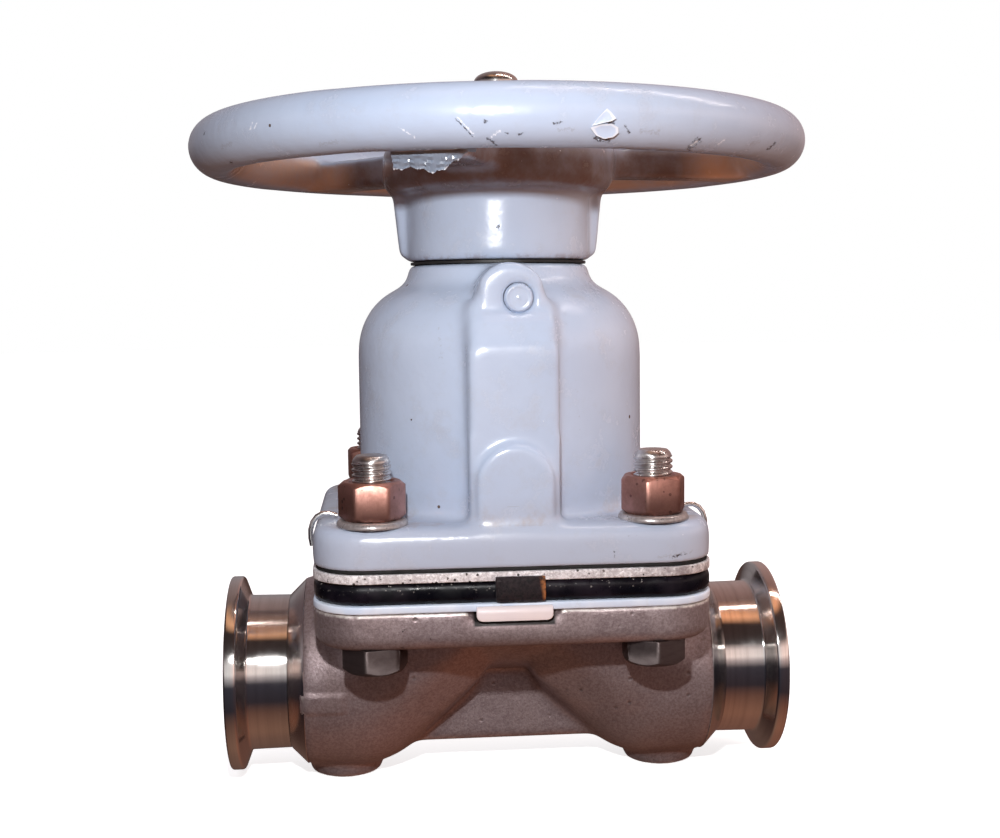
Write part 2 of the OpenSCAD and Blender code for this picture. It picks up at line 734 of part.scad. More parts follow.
module wheel_key() {
    width = key_w - 2 * press_gap;
    length = hub_top - hub_seat_z - 6 - 2 * press_gap;
    color("#77787a")
        translate([sleeve_top_r - key_in + press_gap, -width / 2, hub_seat_z + 3 + press_gap])
            cube([key_h, width, length]);
}

// Tab washer with one ear bent up against the nut
module wheel_washer() {
    color("#a9a9ab") {
        ring(sleeve_top_r + press_gap, tab_washer_r, hub_top, washer_thin);
        translate([wheel_nut_af / 2 + 0.3, -4, hub_top]) cube([washer_thin, 8, washer_thin + 5]);
    }
}

module wheel_nut() {
    color("#8f9094") difference() {
        translate([0, 0, wheel_nut_z]) rotate(30) turned_hexagon(wheel_nut_af, wheel_nut_h, false);
        translate([0, 0, wheel_nut_z - over])
            cylinder(r = sleeve_top_r + press_gap, h = wheel_nut_h + 2 * over);
    }
}

module stem_seal() {
    color(black_rubber) o_ring(tip_r + 1.03, 0.92, wheel_nut_z + wheel_nut_h / 2);
}

// ---- what rises and falls ----

module stem() {
    color(bright_steel) difference() {
        rotate_extrude() polygon([[0, socket_z], [stem_r, socket_z], [stem_r, shoulder_z - 1],
            [stem_r - 1, shoulder_z], [tip_r, shoulder_z], [tip_r, tip_z - 1.4],
            [tip_r - 1.4, tip_z], [0, tip_z]]);
        translate([0, 0, pin_z]) rotate([0, 90, 0])
            cylinder(r = pin_r + press_gap, h = column_d, center = true);
    }
}

module compressor() {
    color("#6f7276") difference() {
        union() {
            translate([0, 0, comp_z]) cylinder(r = column_d / 2, h = column_top - comp_z);
            intersection() {
                for (a = [0:360 / finger_n:359]) rotate(a) translate([0, -finger_w / 2, comp_z])
                    cube([finger_reach, finger_w, finger_top - comp_z]);
                cylinder(r = finger_reach, h = finger_top);
            }
            translate([-lug_w / 2, -lug_y, lug_z]) cube([lug_w, 2 * lug_y, lug_top - lug_z]);
        }
        difference() {
            translate([-finger_reach - over, -finger_reach - over, comp_z - over])
                cube([2 * finger_reach + 2 * over, 2 * finger_reach + 2 * over,
                    finger_top - comp_z + 2 * over]);
            translate([-finger_reach - 2 * over, 0, comp_z + comp_arc_r]) rotate([0, 90, 0])
                cylinder(r = comp_arc_r, h = 2 * finger_reach + 4 * over);
        }
        translate([0, 0, comp_z - over]) cylinder(r = stud_r + 0.2, h = nut_seat_z - comp_z + 2 * over);
        translate([0, 0, nut_seat_z])
            cylinder(r = stud_nut_r + press_gap, h = socket_z - nut_seat_z + over);
        translate([0, 0, socket_z]) cylinder(r = stem_r + press_gap, h = column_top - socket_z + over);
        translate([0, 0, pin_z]) rotate([0, 90, 0])
            cylinder(r = pin_r + press_gap, h = column_d + 2 * over, center = true);
    }
}

module compressor_pin() {
    color(bright_steel) translate([0, 0, pin_z]) rotate([0, 90, 0])
        cylinder(r = pin_r, h = column_d - 1, center = true);
}

module stud_nut() {
    color(bronze) ring(stud_r + press_gap, stud_nut_r, nut_seat_z, stud_nut_h);
}

module diaphragm_stud() {
    head_z = face_z + ptfe_t + dome_rise;
    color(bright_steel) {
        translate([0, 0, head_z]) cylinder(r = stud_head_r, h = stud_head_t);
        translate([0, 0, head_z]) cylinder(r = stud_r, h = nut_seat_z + stud_nut_h - 1 - head_z);
    }
}

valve_body();
inlet_ferrule();
outlet_ferrule();
diaphragm();
diaphragm_backing();
finger_plate();
bonnet_gasket();
bonnet();
bonnet_plug();
bonnet_bush();
sleeve_seals();
neck_seal();
flange_bolts();
flange_washers();
flange_nuts();
clip_wire_left();
clip_wire_right();
handwheel();
drive_sleeve();
thrust_washer_lower();
thrust_washer_upper();
wheel_key();
wheel_washer();
wheel_nut();
stem_seal();
stem();
compressor();
compressor_pin();
stud_nut();
diaphragm_stud();
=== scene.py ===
"""A weir-type diaphragm valve with clamp ferrules and a rising-stem handwheel, dressed round its model.

Lengths are written in millimetres and turned into metres with MM where Blender takes them. The sections
follow the valve as it is put together: pipe side, clamped stack, bonnet, fasteners, handwheel, stem.
"""

import math

import bmesh
import bpy
import numpy as np
from mathutils import Matrix, Vector


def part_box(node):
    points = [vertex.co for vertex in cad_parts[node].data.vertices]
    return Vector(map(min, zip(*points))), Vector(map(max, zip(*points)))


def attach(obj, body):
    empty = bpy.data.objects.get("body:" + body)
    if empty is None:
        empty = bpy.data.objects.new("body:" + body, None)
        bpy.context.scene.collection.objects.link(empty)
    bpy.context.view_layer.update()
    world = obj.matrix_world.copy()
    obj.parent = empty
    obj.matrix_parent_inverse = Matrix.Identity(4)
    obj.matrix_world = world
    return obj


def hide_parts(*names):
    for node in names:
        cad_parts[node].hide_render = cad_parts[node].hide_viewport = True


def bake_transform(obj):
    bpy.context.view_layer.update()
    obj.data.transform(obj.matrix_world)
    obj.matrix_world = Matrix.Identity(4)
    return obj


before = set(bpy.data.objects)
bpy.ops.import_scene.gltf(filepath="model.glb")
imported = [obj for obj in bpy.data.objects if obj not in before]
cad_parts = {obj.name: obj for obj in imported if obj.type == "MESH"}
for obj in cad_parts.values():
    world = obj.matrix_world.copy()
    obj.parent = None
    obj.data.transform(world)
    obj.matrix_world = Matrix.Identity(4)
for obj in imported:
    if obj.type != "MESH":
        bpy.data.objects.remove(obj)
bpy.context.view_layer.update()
scene = bpy.context.scene
MM = 0.001


# ---- Camera ------------------------------------------------------------------------------------------------
# A normal lens at the height of the bonnet, a little left of the stem and looking slightly down.


def link(name, data):
    """Adds an object with the given mesh, lamp or camera to the scene."""
    made = bpy.data.objects.new(name, data)
    scene.collection.objects.link(made)
    return made


camera_data = bpy.data.cameras.new("camera")
camera_data.sensor_width = 36
camera_data.lens = 48.92
camera = link("camera", camera_data)
camera.location = (-38.7 * MM, -454.4 * MM, 159.1 * MM)
HEADING, TILT, ROLL = -0.085, math.pi / 2 - 0.090, -0.012
camera.rotation_euler = (
    Matrix.Rotation(HEADING, 3, "Z") @ Matrix.Rotation(TILT, 3, "X") @ Matrix.Rotation(ROLL, 3, "Z")
).to_euler()
scene.camera = camera
scene.view_settings.view_transform = "Standard"


# ---- Room, lights and floor --------------------------------------------------------------------------------
# A white room with a small lamp above the lens, a large warm lamp on the right and a long tube on the
# ceiling. Polished metal sees the darker, warmer parts of the same room.


def put(tree, kind, props=None, **inputs):
    """Adds a shader node. Inputs are constants or sockets to link from; i0, i1 name them by their number."""
    made = tree.nodes.new("ShaderNode" + kind)
    for key, value in (props or {}).items():
        setattr(made, key, value)
    for key, value in inputs.items():
        by_number = key[0] == "i" and key[1:].isdigit()
        socket = made.inputs[int(key[1:])] if by_number else made.inputs[key.replace("_", " ")]
        if isinstance(value, bpy.types.NodeSocket):
            tree.links.new(value, socket)
        else:
            socket.default_value = value
    return made


def mixed(tree, factor, first, second, blend="MIX"):
    """Mixes two colours, each a socket or three numbers."""
    made = put(tree, "Mix", {"data_type": "RGBA", "blend_type": blend}, Factor=factor)
    for socket, colour in ((made.inputs[6], first), (made.inputs[7], second)):
        if isinstance(colour, bpy.types.NodeSocket):
            tree.links.new(colour, socket)
        else:
            socket.default_value = (*colour, 1)
    return made.outputs[2]


def ramp(tree, factor, stops):
    """A colour ramp with the given (place, colour) stops."""
    made = put(tree, "ValToRGB", Fac=factor)
    band = made.color_ramp
    while len(band.elements) < len(stops):
        band.elements.new(0.5)
    for element, (place, colour) in zip(band.elements, stops):
        element.position = place
        element.color = (*colour, 1)
    return made.outputs["Color"]


def reach(tree, value, low, high, to_low=0.0, to_high=1.0):
    """Turns low..high smoothly into to_low..to_high."""
    made = put(tree, "MapRange", {"interpolation_type": "SMOOTHSTEP"}, Value=value)
    for number, bound in enumerate((low, high, to_low, to_high)):
        made.inputs[number + 1].default_value = bound
    return made.outputs[0]


room = bpy.data.worlds.new("room")
scene.world = room
room.use_nodes = True
sky = room.node_tree
sky.nodes.clear()
toward = put(sky, "SeparateXYZ", Vector=put(sky, "TexCoord").outputs["Generated"]).outputs
height_share = put(sky, "MapRange", Value=toward["Z"], i1=-1.0, i2=1.0).outputs[0]
FRONT_ROOM = [
    (0.0, (0.24, 0.13, 0.09)),
    (0.12, (0.15, 0.08, 0.06)),
    (0.24, (0.035, 0.03, 0.038)),
    (0.47, (0.045, 0.045, 0.06)),
    (0.555, (0.50, 0.48, 0.50)),
    (0.60, (1.0, 0.98, 0.97)),
    (0.68, (0.85, 0.82, 0.82)),
    (0.755, (0.045, 0.035, 0.035)),
    (0.935, (0.045, 0.032, 0.03)),
    (0.975, (1.05, 0.56, 0.31)),
    (0.99, (0.80, 0.42, 0.23)),
    (1.0, (0.22, 0.15, 0.13)),
]
BACK_ROOM = [
    (0.0, (0.20, 0.11, 0.08)),
    (0.30, (0.10, 0.06, 0.05)),
    (0.46, (0.07, 0.045, 0.04)),
    (0.55, (0.30, 0.27, 0.28)),
    (0.75, (0.34, 0.27, 0.27)),
    (0.92, (0.28, 0.20, 0.19)),
    (1.0, (0.20, 0.13, 0.11)),
]
front_side, back_side = (ramp(sky, height_share, stops) for stops in (FRONT_ROOM, BACK_ROOM))
seen = mixed(sky, reach(sky, toward["Y"], -0.15, 0.30), front_side, back_side)
seen = mixed(sky, reach(sky, toward["X"], -0.1, 0.35), seen, (1.35, 1.05, 0.95), "MULTIPLY")
seen = mixed(sky, reach(sky, toward["X"], -0.25, -0.75), seen, (0.40, 0.35, 0.37), "MULTIPLY")
upward = reach(sky, toward["Z"], -0.15, 0.35)
table = mixed(sky, reach(sky, toward["X"], -0.4, 0.5), (0.25, 0.14, 0.105), (0.70, 0.31, 0.15))
front_light = mixed(sky, upward, table, (0.23, 0.175, 0.17))
back_light = mixed(sky, upward, (0.13, 0.07, 0.05), (0.54, 0.54, 0.60))
ambient = mixed(sky, reach(sky, toward["Y"], -0.35, 0.25), front_light, back_light)
rays = put(sky, "LightPath").outputs
dim, mirrored, plain = (
    put(sky, "Background", Color=colour, Strength=1.0).outputs[0] for colour in (ambient, seen, (1, 1, 1, 1))
)
lit = put(sky, "MixShader", i0=rays["Is Glossy Ray"], i1=dim, i2=mirrored)
shown = put(sky, "MixShader", i0=rays["Is Camera Ray"], i1=lit.outputs[0], i2=plain)
put(sky, "OutputWorld", Surface=shown.outputs[0])


def lamp(name, place, size, watts, colour, mirrored=True):
    """A soft rectangular lamp that looks at the bonnet. Its place is in millimetres."""
    data = bpy.data.lights.new(name, "AREA")
    data.shape = "RECTANGLE"
    data.size, data.size_y = size
    data.energy = watts
    data.color = colour
    made = link(name, data)
    made.location = Vector(place) * MM
    made.rotation_euler = (made.location - Vector((0, 0, 120)) * MM).to_track_quat("Z", "Y").to_euler()
    made.visible_glossy = mirrored


lamp("lens_lamp", (-50, -350, 232), (0.013, 0.010), 1.12, (0.98, 0.985, 0.985))
lamp("warm_lamp", (720, 120, 260), (0.35, 0.35), 2.7, (1.0, 0.78, 0.68), mirrored=False)
lamp("ceiling_tube", (400, 15, 900), (0.05, 0.9), 2.2, (1.0, 0.86, 0.80))


def finish_of(name, **constants):
    """A material with its own Principled shader, and the constants set on that shader's sockets."""
    made = bpy.data.materials.new(name)
    made.use_nodes = True
    shader = made.node_tree.nodes["Principled BSDF"]
    for key, value in constants.items():
        shader.inputs[key.replace("_", " ")].default_value = value
    return made, made.node_tree, shader


def full_turn(steps):
    """Angles at equal steps round a full turn."""
    return np.linspace(0, math.tau, steps, endpoint=False)


def ring(angles, radius, z):
    """Points round Z. The radius and the height are one number, or one for each angle."""
    radius, z = np.broadcast_to(radius, len(angles)), np.broadcast_to(z, len(angles))
    return np.stack([radius * np.cos(angles), radius * np.sin(angles), z], 1)


FLOOR_R = 4.0
FLOOR_SIDES = 64
floor_mesh = bpy.data.meshes.new("floor")
floor_mesh.from_pydata(
    [(0, 0, 0)] + ring(full_turn(FLOOR_SIDES), FLOOR_R, 0).tolist(),
    [],
    [(0, i + 1, (i + 1) % FLOOR_SIDES + 1) for i in range(FLOOR_SIDES)],
)
FLOOR_PAINT = {"Base_Color": (0.9, 0.9, 0.9, 1), "Roughness": 0.9}
FLOOR_GLOW = {"Emission_Color": (1, 1, 1, 1), "Emission_Strength": 0.75}
floor_mesh.materials.append(finish_of("floor_paint", **FLOOR_PAINT, **FLOOR_GLOW)[0])
floor = link("floor", floor_mesh)
floor.visible_glossy = False
floor.visible_diffuse = False


# ---- Body casting ------------------------------------------------------------------------------------------
# The body is one stainless sand casting, bead-blasted a warm grey: two bowls that meet at the weir, a web
# and two bosses to stand on, under a flange with a faced, bright-worn top. Each bowl ends in a taper.

AXIS_Z = 34.2
FACE_Z = 65.5
BODY_END = 71.5
BODY_UNDER = 53.7
PAD_CENTRE = (-60.0, 31.0)
PAD_SIZE = (6.6, 3.2)
PAD_RISE = 0.45
MACHINED = 0.12


def evaluated(made):
    """The mesh of an object after its modifiers and bevels. The object itself goes."""
    bpy.context.view_layer.update()
    mesh = bpy.data.meshes.new_from_object(made.evaluated_get(bpy.context.evaluated_depsgraph_get()))
    bpy.data.objects.remove(made)
    return mesh


def soft_casting(node, name, voxel, passes, softness):
    """A finely remeshed copy of a cast node, its edges rounded as the mould leaves them.
    softness gives each point 0 where it is machined and 1 where it is as cast."""
    rough = link(name + "_source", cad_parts[node].data.copy())
    skin = rough.modifiers.new("skin", "REMESH")
    skin.mode = "VOXEL"
    skin.voxel_size = voxel * MM
    mesh = evaluated(rough)
    mesh.name = name
    mesh.materials.clear()
    count = len(mesh.vertices)
    points = np.zeros(count * 3)
    mesh.vertices.foreach_get("co", points)
    points = points.reshape(-1, 3) / MM
    ends = np.zeros(len(mesh.edges) * 2, int)
    mesh.edges.foreach_get("vertices", ends)
    first, second = ends.reshape(-1, 2).T
    neighbours = np.bincount(first, minlength=count) + np.bincount(second, minlength=count)
    share = 0.5 * softness(points) / neighbours
    for _ in range(passes):
        step = points[second] - points[first]
        for axis in range(3):
            pull = np.bincount(first, step[:, axis], count) - np.bincount(second, step[:, axis], count)
            points[:, axis] += share * pull
    settle(mesh, points)
    return mesh, points


def settle(mesh, points):
    """Writes points, in millimetres, back into the mesh and shades it smooth."""
    mesh.vertices.foreach_set("co", (points * MM).ravel())
    mesh.polygons.foreach_set("use_smooth", [True] * len(mesh.polygons))
    mesh.update()


def body_softness(p):
    near_face = np.clip((FACE_Z - p[:, 2] - 0.4) / 1.5, MACHINED, 1)
    near_end = np.clip((BODY_END - np.abs(p[:, 0]) - 0.5) / 2, MACHINED, 1)
    return near_face * near_end


body_mesh, body_points = soft_casting(
    "valve_body", "body_casting", voxel=0.9, passes=14, softness=body_softness
)
body_normals = np.zeros(body_points.size)
body_mesh.vertices.foreach_get("normal", body_normals)
body_normals = body_normals.reshape(-1, 3)
off_pad = (np.abs(body_points[:, [0, 2]] - PAD_CENTRE) / PAD_SIZE).max(axis=1)
on_front = body_normals[:, 1] < -0.3
body_points += body_normals * (PAD_RISE * on_front * np.clip((1.12 - off_pad) / 0.16, 0, 1))[:, None]
settle(body_mesh, body_points)
body_casting = link("body_casting", body_mesh)
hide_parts("valve_body")
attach(body_casting, "valve")


def effect(name, inputs, outputs):
    """A shader node group. Its inputs are numbers or vectors with a value of their own, its outputs numbers.
    Returns the group, its input sockets and a function that links its outputs."""
    tree = bpy.data.node_groups.new(name, "ShaderNodeTree")
    for label, value in inputs.items():
        kind = "NodeSocketVector" if isinstance(value, tuple) else "NodeSocketFloat"
        tree.interface.new_socket(label, in_out="INPUT", socket_type=kind).default_value = value
    for label in outputs:
        tree.interface.new_socket(label, in_out="OUTPUT", socket_type="NodeSocketFloat")
    ends = tree.nodes.new("NodeGroupOutput").inputs

    def give(**sockets):
        for label, socket in sockets.items():
            tree.links.new(socket, ends[label])

    return tree, tree.nodes.new("NodeGroupInput").outputs, give


def place(tree, group, **inputs):
    """Puts a node group into a material with its own values."""
    return put(tree, "Group", {"node_tree": group}, **inputs).outputs


def math_node(tree, kind, first, second=0.0, third=0.0, clamp=False):
    props = {"operation": kind, "use_clamp": clamp}
    return put(tree, "Math", props, i0=first, i1=second, i2=third).outputs[0]


def times(tree, first, second):
    return math_node(tree, "MULTIPLY", first, second)


def minus(tree, first, second, clamp=False):
    return math_node(tree, "SUBTRACT", first, second, clamp=clamp)


def scaled(tree, value, share, base):
    """value * share + base"""
    return math_node(tree, "MULTIPLY_ADD", value, share, base)


def share_of(tree, part, whole):
    """part / whole, held between 0 and 1"""
    return math_node(tree, "DIVIDE", part, whole, clamp=True)


def vector_math(tree, kind, first, second=(0, 0, 0), **more):
    found = put(tree, "VectorMath", {"operation": kind}, i0=first, i1=second, **more).outputs
    return found["Value" if kind in ("DOT_PRODUCT", "DISTANCE", "LENGTH") else "Vector"]


def own_place(tree):
    return put(tree, "TexCoord").outputs["Object"]


def noise(tree, scale, detail=3.0, rough=0.55, at=None, warp=0.0):
    """Noise over the piece's own coordinates, scale in cells per metre."""
    at = at or own_place(tree)
    made = put(tree, "TexNoise", Vector=at, Scale=scale, Detail=detail, Roughness=rough, Distortion=warp)
    return made.outputs[0]


def clouds(tree, grain, low, high, to_low=0.0, to_high=1.0):
    """Noise of a grain (scale, detail, roughness), of which low..high becomes to_low..to_high."""
    return reach(tree, noise(tree, *grain), low, high, to_low, to_high)


def split(tree, value):
    return put(tree, "SeparateXYZ", Vector=value).outputs


def cells(tree, scale, at=None):
    """Cells over the piece: the distance from each cell's middle, and random numbers of its own."""
    found = put(tree, "TexVoronoi", Vector=at or own_place(tree), Scale=scale).outputs
    return found["Distance"], split(tree, found["Color"])


def layers(tree, colour, *coats):
    """Lays coats over a colour in turn, each (mask, colour) or (mask, share of it, colour)."""
    for mask, *share, paint in coats:
        colour = mixed(tree, times(tree, mask, share[0]) if share else mask, colour, paint)
    return colour


def surface(shader, colour, rough, height=None, depth=0.0):
    """Links a colour, a roughness and a height, in units of depth millimetres, to a shader."""
    tree = shader.id_data
    tree.links.new(colour, shader.inputs["Base Color"])
    tree.links.new(rough, shader.inputs["Roughness"])
    if height:
        bump = put(tree, "Bump", Height=height, Distance=depth * MM, Strength=1.0)
        tree.links.new(bump.outputs[0], shader.inputs["Normal"])


# Blasted or sanded cast skin: fine grain, shallow pits and slow patches of stain
tree, given, give = effect(
    "cast_skin", {"Grain": 1600.0, "Pits": 170.0, "Patches": 28.0}, ("Height", "Pitted", "Stain")
)
distance, luck = cells(tree, given["Pits"])
pit = times(tree, reach(tree, distance, 0.26, 0.05), reach(tree, luck["X"], 0.80, 0.97))
stacked = scaled(tree, noise(tree, given["Grain"], 4, 0.65), 0.5, noise(tree, 240.0, 3))
stain = reach(tree, noise(tree, given["Patches"], 6, 0.62, warp=0.6), 0.38, 0.66)
give(Height=minus(tree, stacked, pit), Pitted=pit, Stain=stain)
cast_skin = tree

# Bare or bright edges, and darker corners of dirt and painted shade, both broken up by noise
tree, given, give = effect(
    "edge_wear_and_corner_shade", {"Edge": 0.53, "Corner": 0.47, "Spread": 0.03, "Break up": 260.0}, ("Worn", "Dirty")
)
ragged = scaled(tree, noise(tree, given["Break up"], 5, 0.7), 0.05, -0.025)
shape = math_node(tree, "ADD", put(tree, "NewGeometry").outputs["Pointiness"], ragged)
over_edge = minus(tree, shape, given["Edge"])
in_corner = minus(tree, given["Corner"], shape)
give(Worn=share_of(tree, over_edge, given["Spread"]), Dirty=share_of(tree, in_corner, given["Spread"]))
edge_wear_and_corner_shade = tree

# A coordinate mask: full at one distance and none at another, along any direction
tree, given, give = effect("slope_mask", {"Direction": (0, 0, 1), "None at": 0.0, "Full at": 0.01}, ("Mask",))
along = vector_math(tree, "DOT_PRODUCT", own_place(tree), given["Direction"])
whole = minus(tree, given["Full at"], given["None at"])
give(Mask=share_of(tree, minus(tree, along, given["None at"]), whole))
slope_mask = tree

# A mark along a short line from Start to End. It ignores small differences in depth, from front to back.
tree, given, give = effect(
    "gouge", {"Start": (0, 0, 0), "End": (0, 0, 0), "Width": 0.0005, "Noise": 0.5}, ("Mask",)
)
points = (own_place(tree), given["Start"], given["End"])
here, start, end = (vector_math(tree, "MULTIPLY", point, (1, 0.15, 1)) for point in points)
run, rel = vector_math(tree, "SUBTRACT", end, start), vector_math(tree, "SUBTRACT", here, start)
run_sq = math_node(tree, "ADD", vector_math(tree, "DOT_PRODUCT", run, run), 1e-12)
done = share_of(tree, vector_math(tree, "DOT_PRODUCT", rel, run), run_sq)
off_line = vector_math(tree, "DISTANCE", rel, vector_math(tree, "SCALE", run, Scale=done))
ragged = scaled(tree, given["Noise"], 5.0, -1.9)
inside = minus(tree, times(tree, given["Width"], ragged), off_line)
give(Mask=share_of(tree, inside, times(tree, given["Width"], 0.5)))
gouge = tree


def slope(tree, none_at, full_at, way=(0, 0, 1)):
    """Mask from nothing at one distance along a direction to full at another, in millimetres."""
    return place(tree, slope_mask, Direction=way, None_at=none_at * MM, Full_at=full_at * MM)["Mask"]


def marked(tree, marks):
    """One mask for all the marks, each (start, end, half width) in millimetres."""
    broken = noise(tree, 1300.0, 3, 0.75)
    mask = 0.0
    for start, end, width in marks:
        ends = {"Start": [v * MM for v in start], "End": [v * MM for v in end]}
        one = place(tree, gouge, Width=width * MM, Noise=broken, **ends)["Mask"]
        mask = math_node(tree, "MAXIMUM", mask, one)
    return mask


def stroke(x0, z0, x1, z1, width, y=-58):
    """A mark on a face that looks to the front, near the given y."""
    return ((x0, y, z0), (x1, y, z1), width)


BODY_CUTS = [
    stroke(*row)
    for row in (
        (-34.6, 60.4, -32.4, 61.2, 0.35), (-26.2, 57.8, -26.2, 57.8, 0.45), (-48.4, 56.6, -48.4, 56.6, 0.4),
        (51.6, 48.2, 52.2, 42.4, 0.35, -40), (54.4, 48.8, 54.8, 42.6, 0.35, -40),
        (-62.6, 50.4, -60.4, 50.2, 0.45, -38), (-2.8, 30.6, -2.8, 30.6, 0.6, -25),
    )
]
body_finish, tree, shader = finish_of("blasted_stainless", Metallic=0.72, IOR=1.9)
skin = place(tree, cast_skin, Pits=260.0)
wear_and_shade = place(tree, edge_wear_and_corner_shade, Edge=0.525, Corner=0.475, Spread=0.03)
colour = mixed(tree, skin["Stain"], (0.43, 0.345, 0.355), (0.29, 0.222, 0.222))
colour = layers(tree, colour, (clouds(tree, (9.0, 4), 0.35, 0.7, 0.0, 0.5), (0.53, 0.45, 0.46)))
colour = mixed(tree, clouds(tree, (1100.0, 3, 0.8), 0.36, 0.64), colour, (0.70, 0.66, 0.67), "MULTIPLY")
# Painted shadow: a black band on the flange's front just below the PTFE tab, where the tab's shadow falls
painted_tab_shadow = slope(tree, 60.7, 61.2)
for way, end in (((1, 0, 0), -13.0), ((-1, 0, 0), -10.8), ((0, -1, 0), 52.0)):
    painted_tab_shadow = times(tree, painted_tab_shadow, slope(tree, end - 0.9, end, way))
colour = layers(
    tree,
    colour,
    (skin["Pitted"], 0.6, (0.12, 0.09, 0.085)),
    # Darker corners: dirt and painted shade
    (wear_and_shade["Dirty"], (0.11, 0.085, 0.07)),
    (wear_and_shade["Worn"], (0.80, 0.76, 0.72)),
    (marked(tree, BODY_CUTS), 0.95, (0.03, 0.02, 0.02)),
    (painted_tab_shadow, (0.012, 0.008, 0.008)),
)
surface(shader, colour, reach(tree, skin["Stain"], 0.0, 1.0, 0.42, 0.58), skin["Height"], 0.16)
body_mesh.materials.append(body_finish)


# ---- Clamp ferrules ----------------------------------------------------------------------------------------
# Each end is a turned and polished stainless ferrule, welded on and ground flush: a short tube with a
# clamp rim, bevelled on its back, and a groove for the gasket in its face.

FERRULE_R = 32.0
FERRULE_RIM = 3.9
FERRULE_LEN = 19.5
FERRULE_FACE = 91.0
TUBE_R = 25.4
BORE_R = 23.75
GROOVE = (28.1, 1.6)
BEVEL = math.radians(20)


def softened(profile, radius, closed=True, steps=4):
    """The (radius, height) profile with its corners rounded."""
    made = []
    count = len(profile)
    for i, corner in enumerate(profile):
        if not closed and i in (0, count - 1):
            made.append(corner)
            continue
        here = np.array(corner, float)
        sides = [np.array(profile[(i + d) % count], float) - here for d in (-1, 1)]
        room_left = [np.linalg.norm(side) for side in sides]
        cut = min(radius, 0.45 * min(room_left))
        start, end = (here + side / size * cut for side, size in zip(sides, room_left))
        for t in np.linspace(0, 1, steps):
            made.append(tuple((1 - t) ** 2 * start + 2 * t * (1 - t) * here + t * t * end))
    return made


def skinned(name, rings, closed=False, smooth_below=35.0):
    """Joins rings of points into a shell that faces outwards, with only its real edges sharp. A closed one
    runs from its last ring back to its first; the ends of an open one are filled."""
    rings = np.array(rings, float)
    rows, steps = rings.shape[:2]
    row = np.arange(rows if closed else rows - 1)[:, None]
    column = np.arange(steps)[None, :]
    following = (row + 1) % rows
    corners = [row * steps + column, row * steps + (column + 1) % steps]
    corners += [following * steps + (column + 1) % steps, following * steps + column]
    faces = np.stack(np.broadcast_arrays(*corners), -1).reshape(-1, 4)
    mesh = bpy.data.meshes.new(name)
    mesh.from_pydata((rings.reshape(-1, 3) * MM).tolist(), [], faces.tolist())
    return tidy_mesh(mesh, smooth_below)


def tidy_mesh(mesh, smooth_below):
    """Closes the ends, points the faces outwards, and keeps only real edges sharp."""
    work = bmesh.new()
    work.from_mesh(mesh)
    bmesh.ops.remove_doubles(work, verts=work.verts, dist=1e-7)
    open_edges = [edge for edge in work.edges if edge.is_boundary]
    if open_edges:
        bmesh.ops.holes_fill(work, edges=open_edges, sides=0)
    bmesh.ops.dissolve_degenerate(work, edges=work.edges, dist=1e-7)
    bmesh.ops.recalc_face_normals(work, faces=work.faces)
    for face in work.faces:
        face.smooth = True
    for edge in work.edges:
        if len(edge.link_faces) == 2:
            edge.smooth = edge.calc_face_angle(0) < math.radians(smooth_below)
    work.to_mesh(mesh)
    work.free()
    return mesh


def turned(name, profile, closed=True, steps=144):
    """A piece turned about Z from its (radius, height) profile."""
    return skinned(name, [ring(full_turn(steps), r, h) for r, h in profile], closed)


def moved(mesh, x=0.0, y=0.0, z=0.0, angle=0.0, about="Y"):
    """Turns a mesh about an axis and then moves it, in millimetres."""
    mesh.transform(Matrix.Translation((x * MM, y * MM, z * MM)) @ Matrix.Rotation(angle, 4, about))
    return mesh


bevel_end = FERRULE_RIM + (FERRULE_R - TUBE_R) * math.tan(BEVEL)
groove_r, groove_cut = GROOVE
inner_part = [(BORE_R, FERRULE_LEN), (BORE_R, 0.0), (groove_r - groove_cut - 0.1, 0.0)]
groove_arc = [
    (groove_r - groove_cut * math.cos(a), groove_cut * math.sin(a))
    for a in np.linspace(0.25, math.pi - 0.25, 9)
]
outer_part = [(groove_r + groove_cut + 0.1, 0.0), (FERRULE_R, 0.0), (FERRULE_R, FERRULE_RIM)]
outer_part += [(TUBE_R + 0.2, bevel_end), (TUBE_R, FERRULE_LEN)]
ferrule_profile = softened(inner_part, 0.4, False) + groove_arc + softened(outer_part, 0.7, False)

# Fine rings that a lathe leaves, along an axis through Centre
tree, given, give = effect(
    "turning_marks", {"Centre": (0, 0, 0), "Axis": (0, 0, 1), "Lines": 5000.0}, ("Height", "Shade")
)
out_from = vector_math(tree, "SUBTRACT", own_place(tree), given["Centre"])
along = vector_math(tree, "DOT_PRODUCT", out_from, given["Axis"])
off_axis = vector_math(tree, "DISTANCE", out_from, vector_math(tree, "SCALE", given["Axis"], Scale=along))
both = put(tree, "CombineXYZ", X=along, Y=off_axis).outputs[0]
give(Height=noise(tree, given["Lines"], 2, 0.8, both), Shade=noise(tree, 420.0, 4, 0.7, both))
turning_marks = tree


def polished(name, colour, dark, rough, centre=(0, 0, 0), axis=(0, 0, 1)):
    """Turned and polished steel: rings of slightly different shine, and smears."""
    made, tree, shader = finish_of(name, Metallic=1.0, Anisotropic=0.75, Anisotropic_Rotation=0.25)
    marks = place(tree, turning_marks, Centre=[v * MM for v in centre], Axis=axis)
    shade = times(tree, reach(tree, marks["Shade"], 0.35, 0.7), 0.5)
    dull = scaled(tree, clouds(tree, (60.0, 5, 0.6), 0.35, 0.7), 0.09, rough)
    surface(shader, mixed(tree, shade, colour, dark), dull, marks["Height"], 0.006)
    around = put(tree, "Tangent", {"direction_type": "RADIAL", "axis": "XYZ"[int(np.argmax(axis))]})
    tree.links.new(around.outputs[0], shader.inputs["Tangent"])
    return made


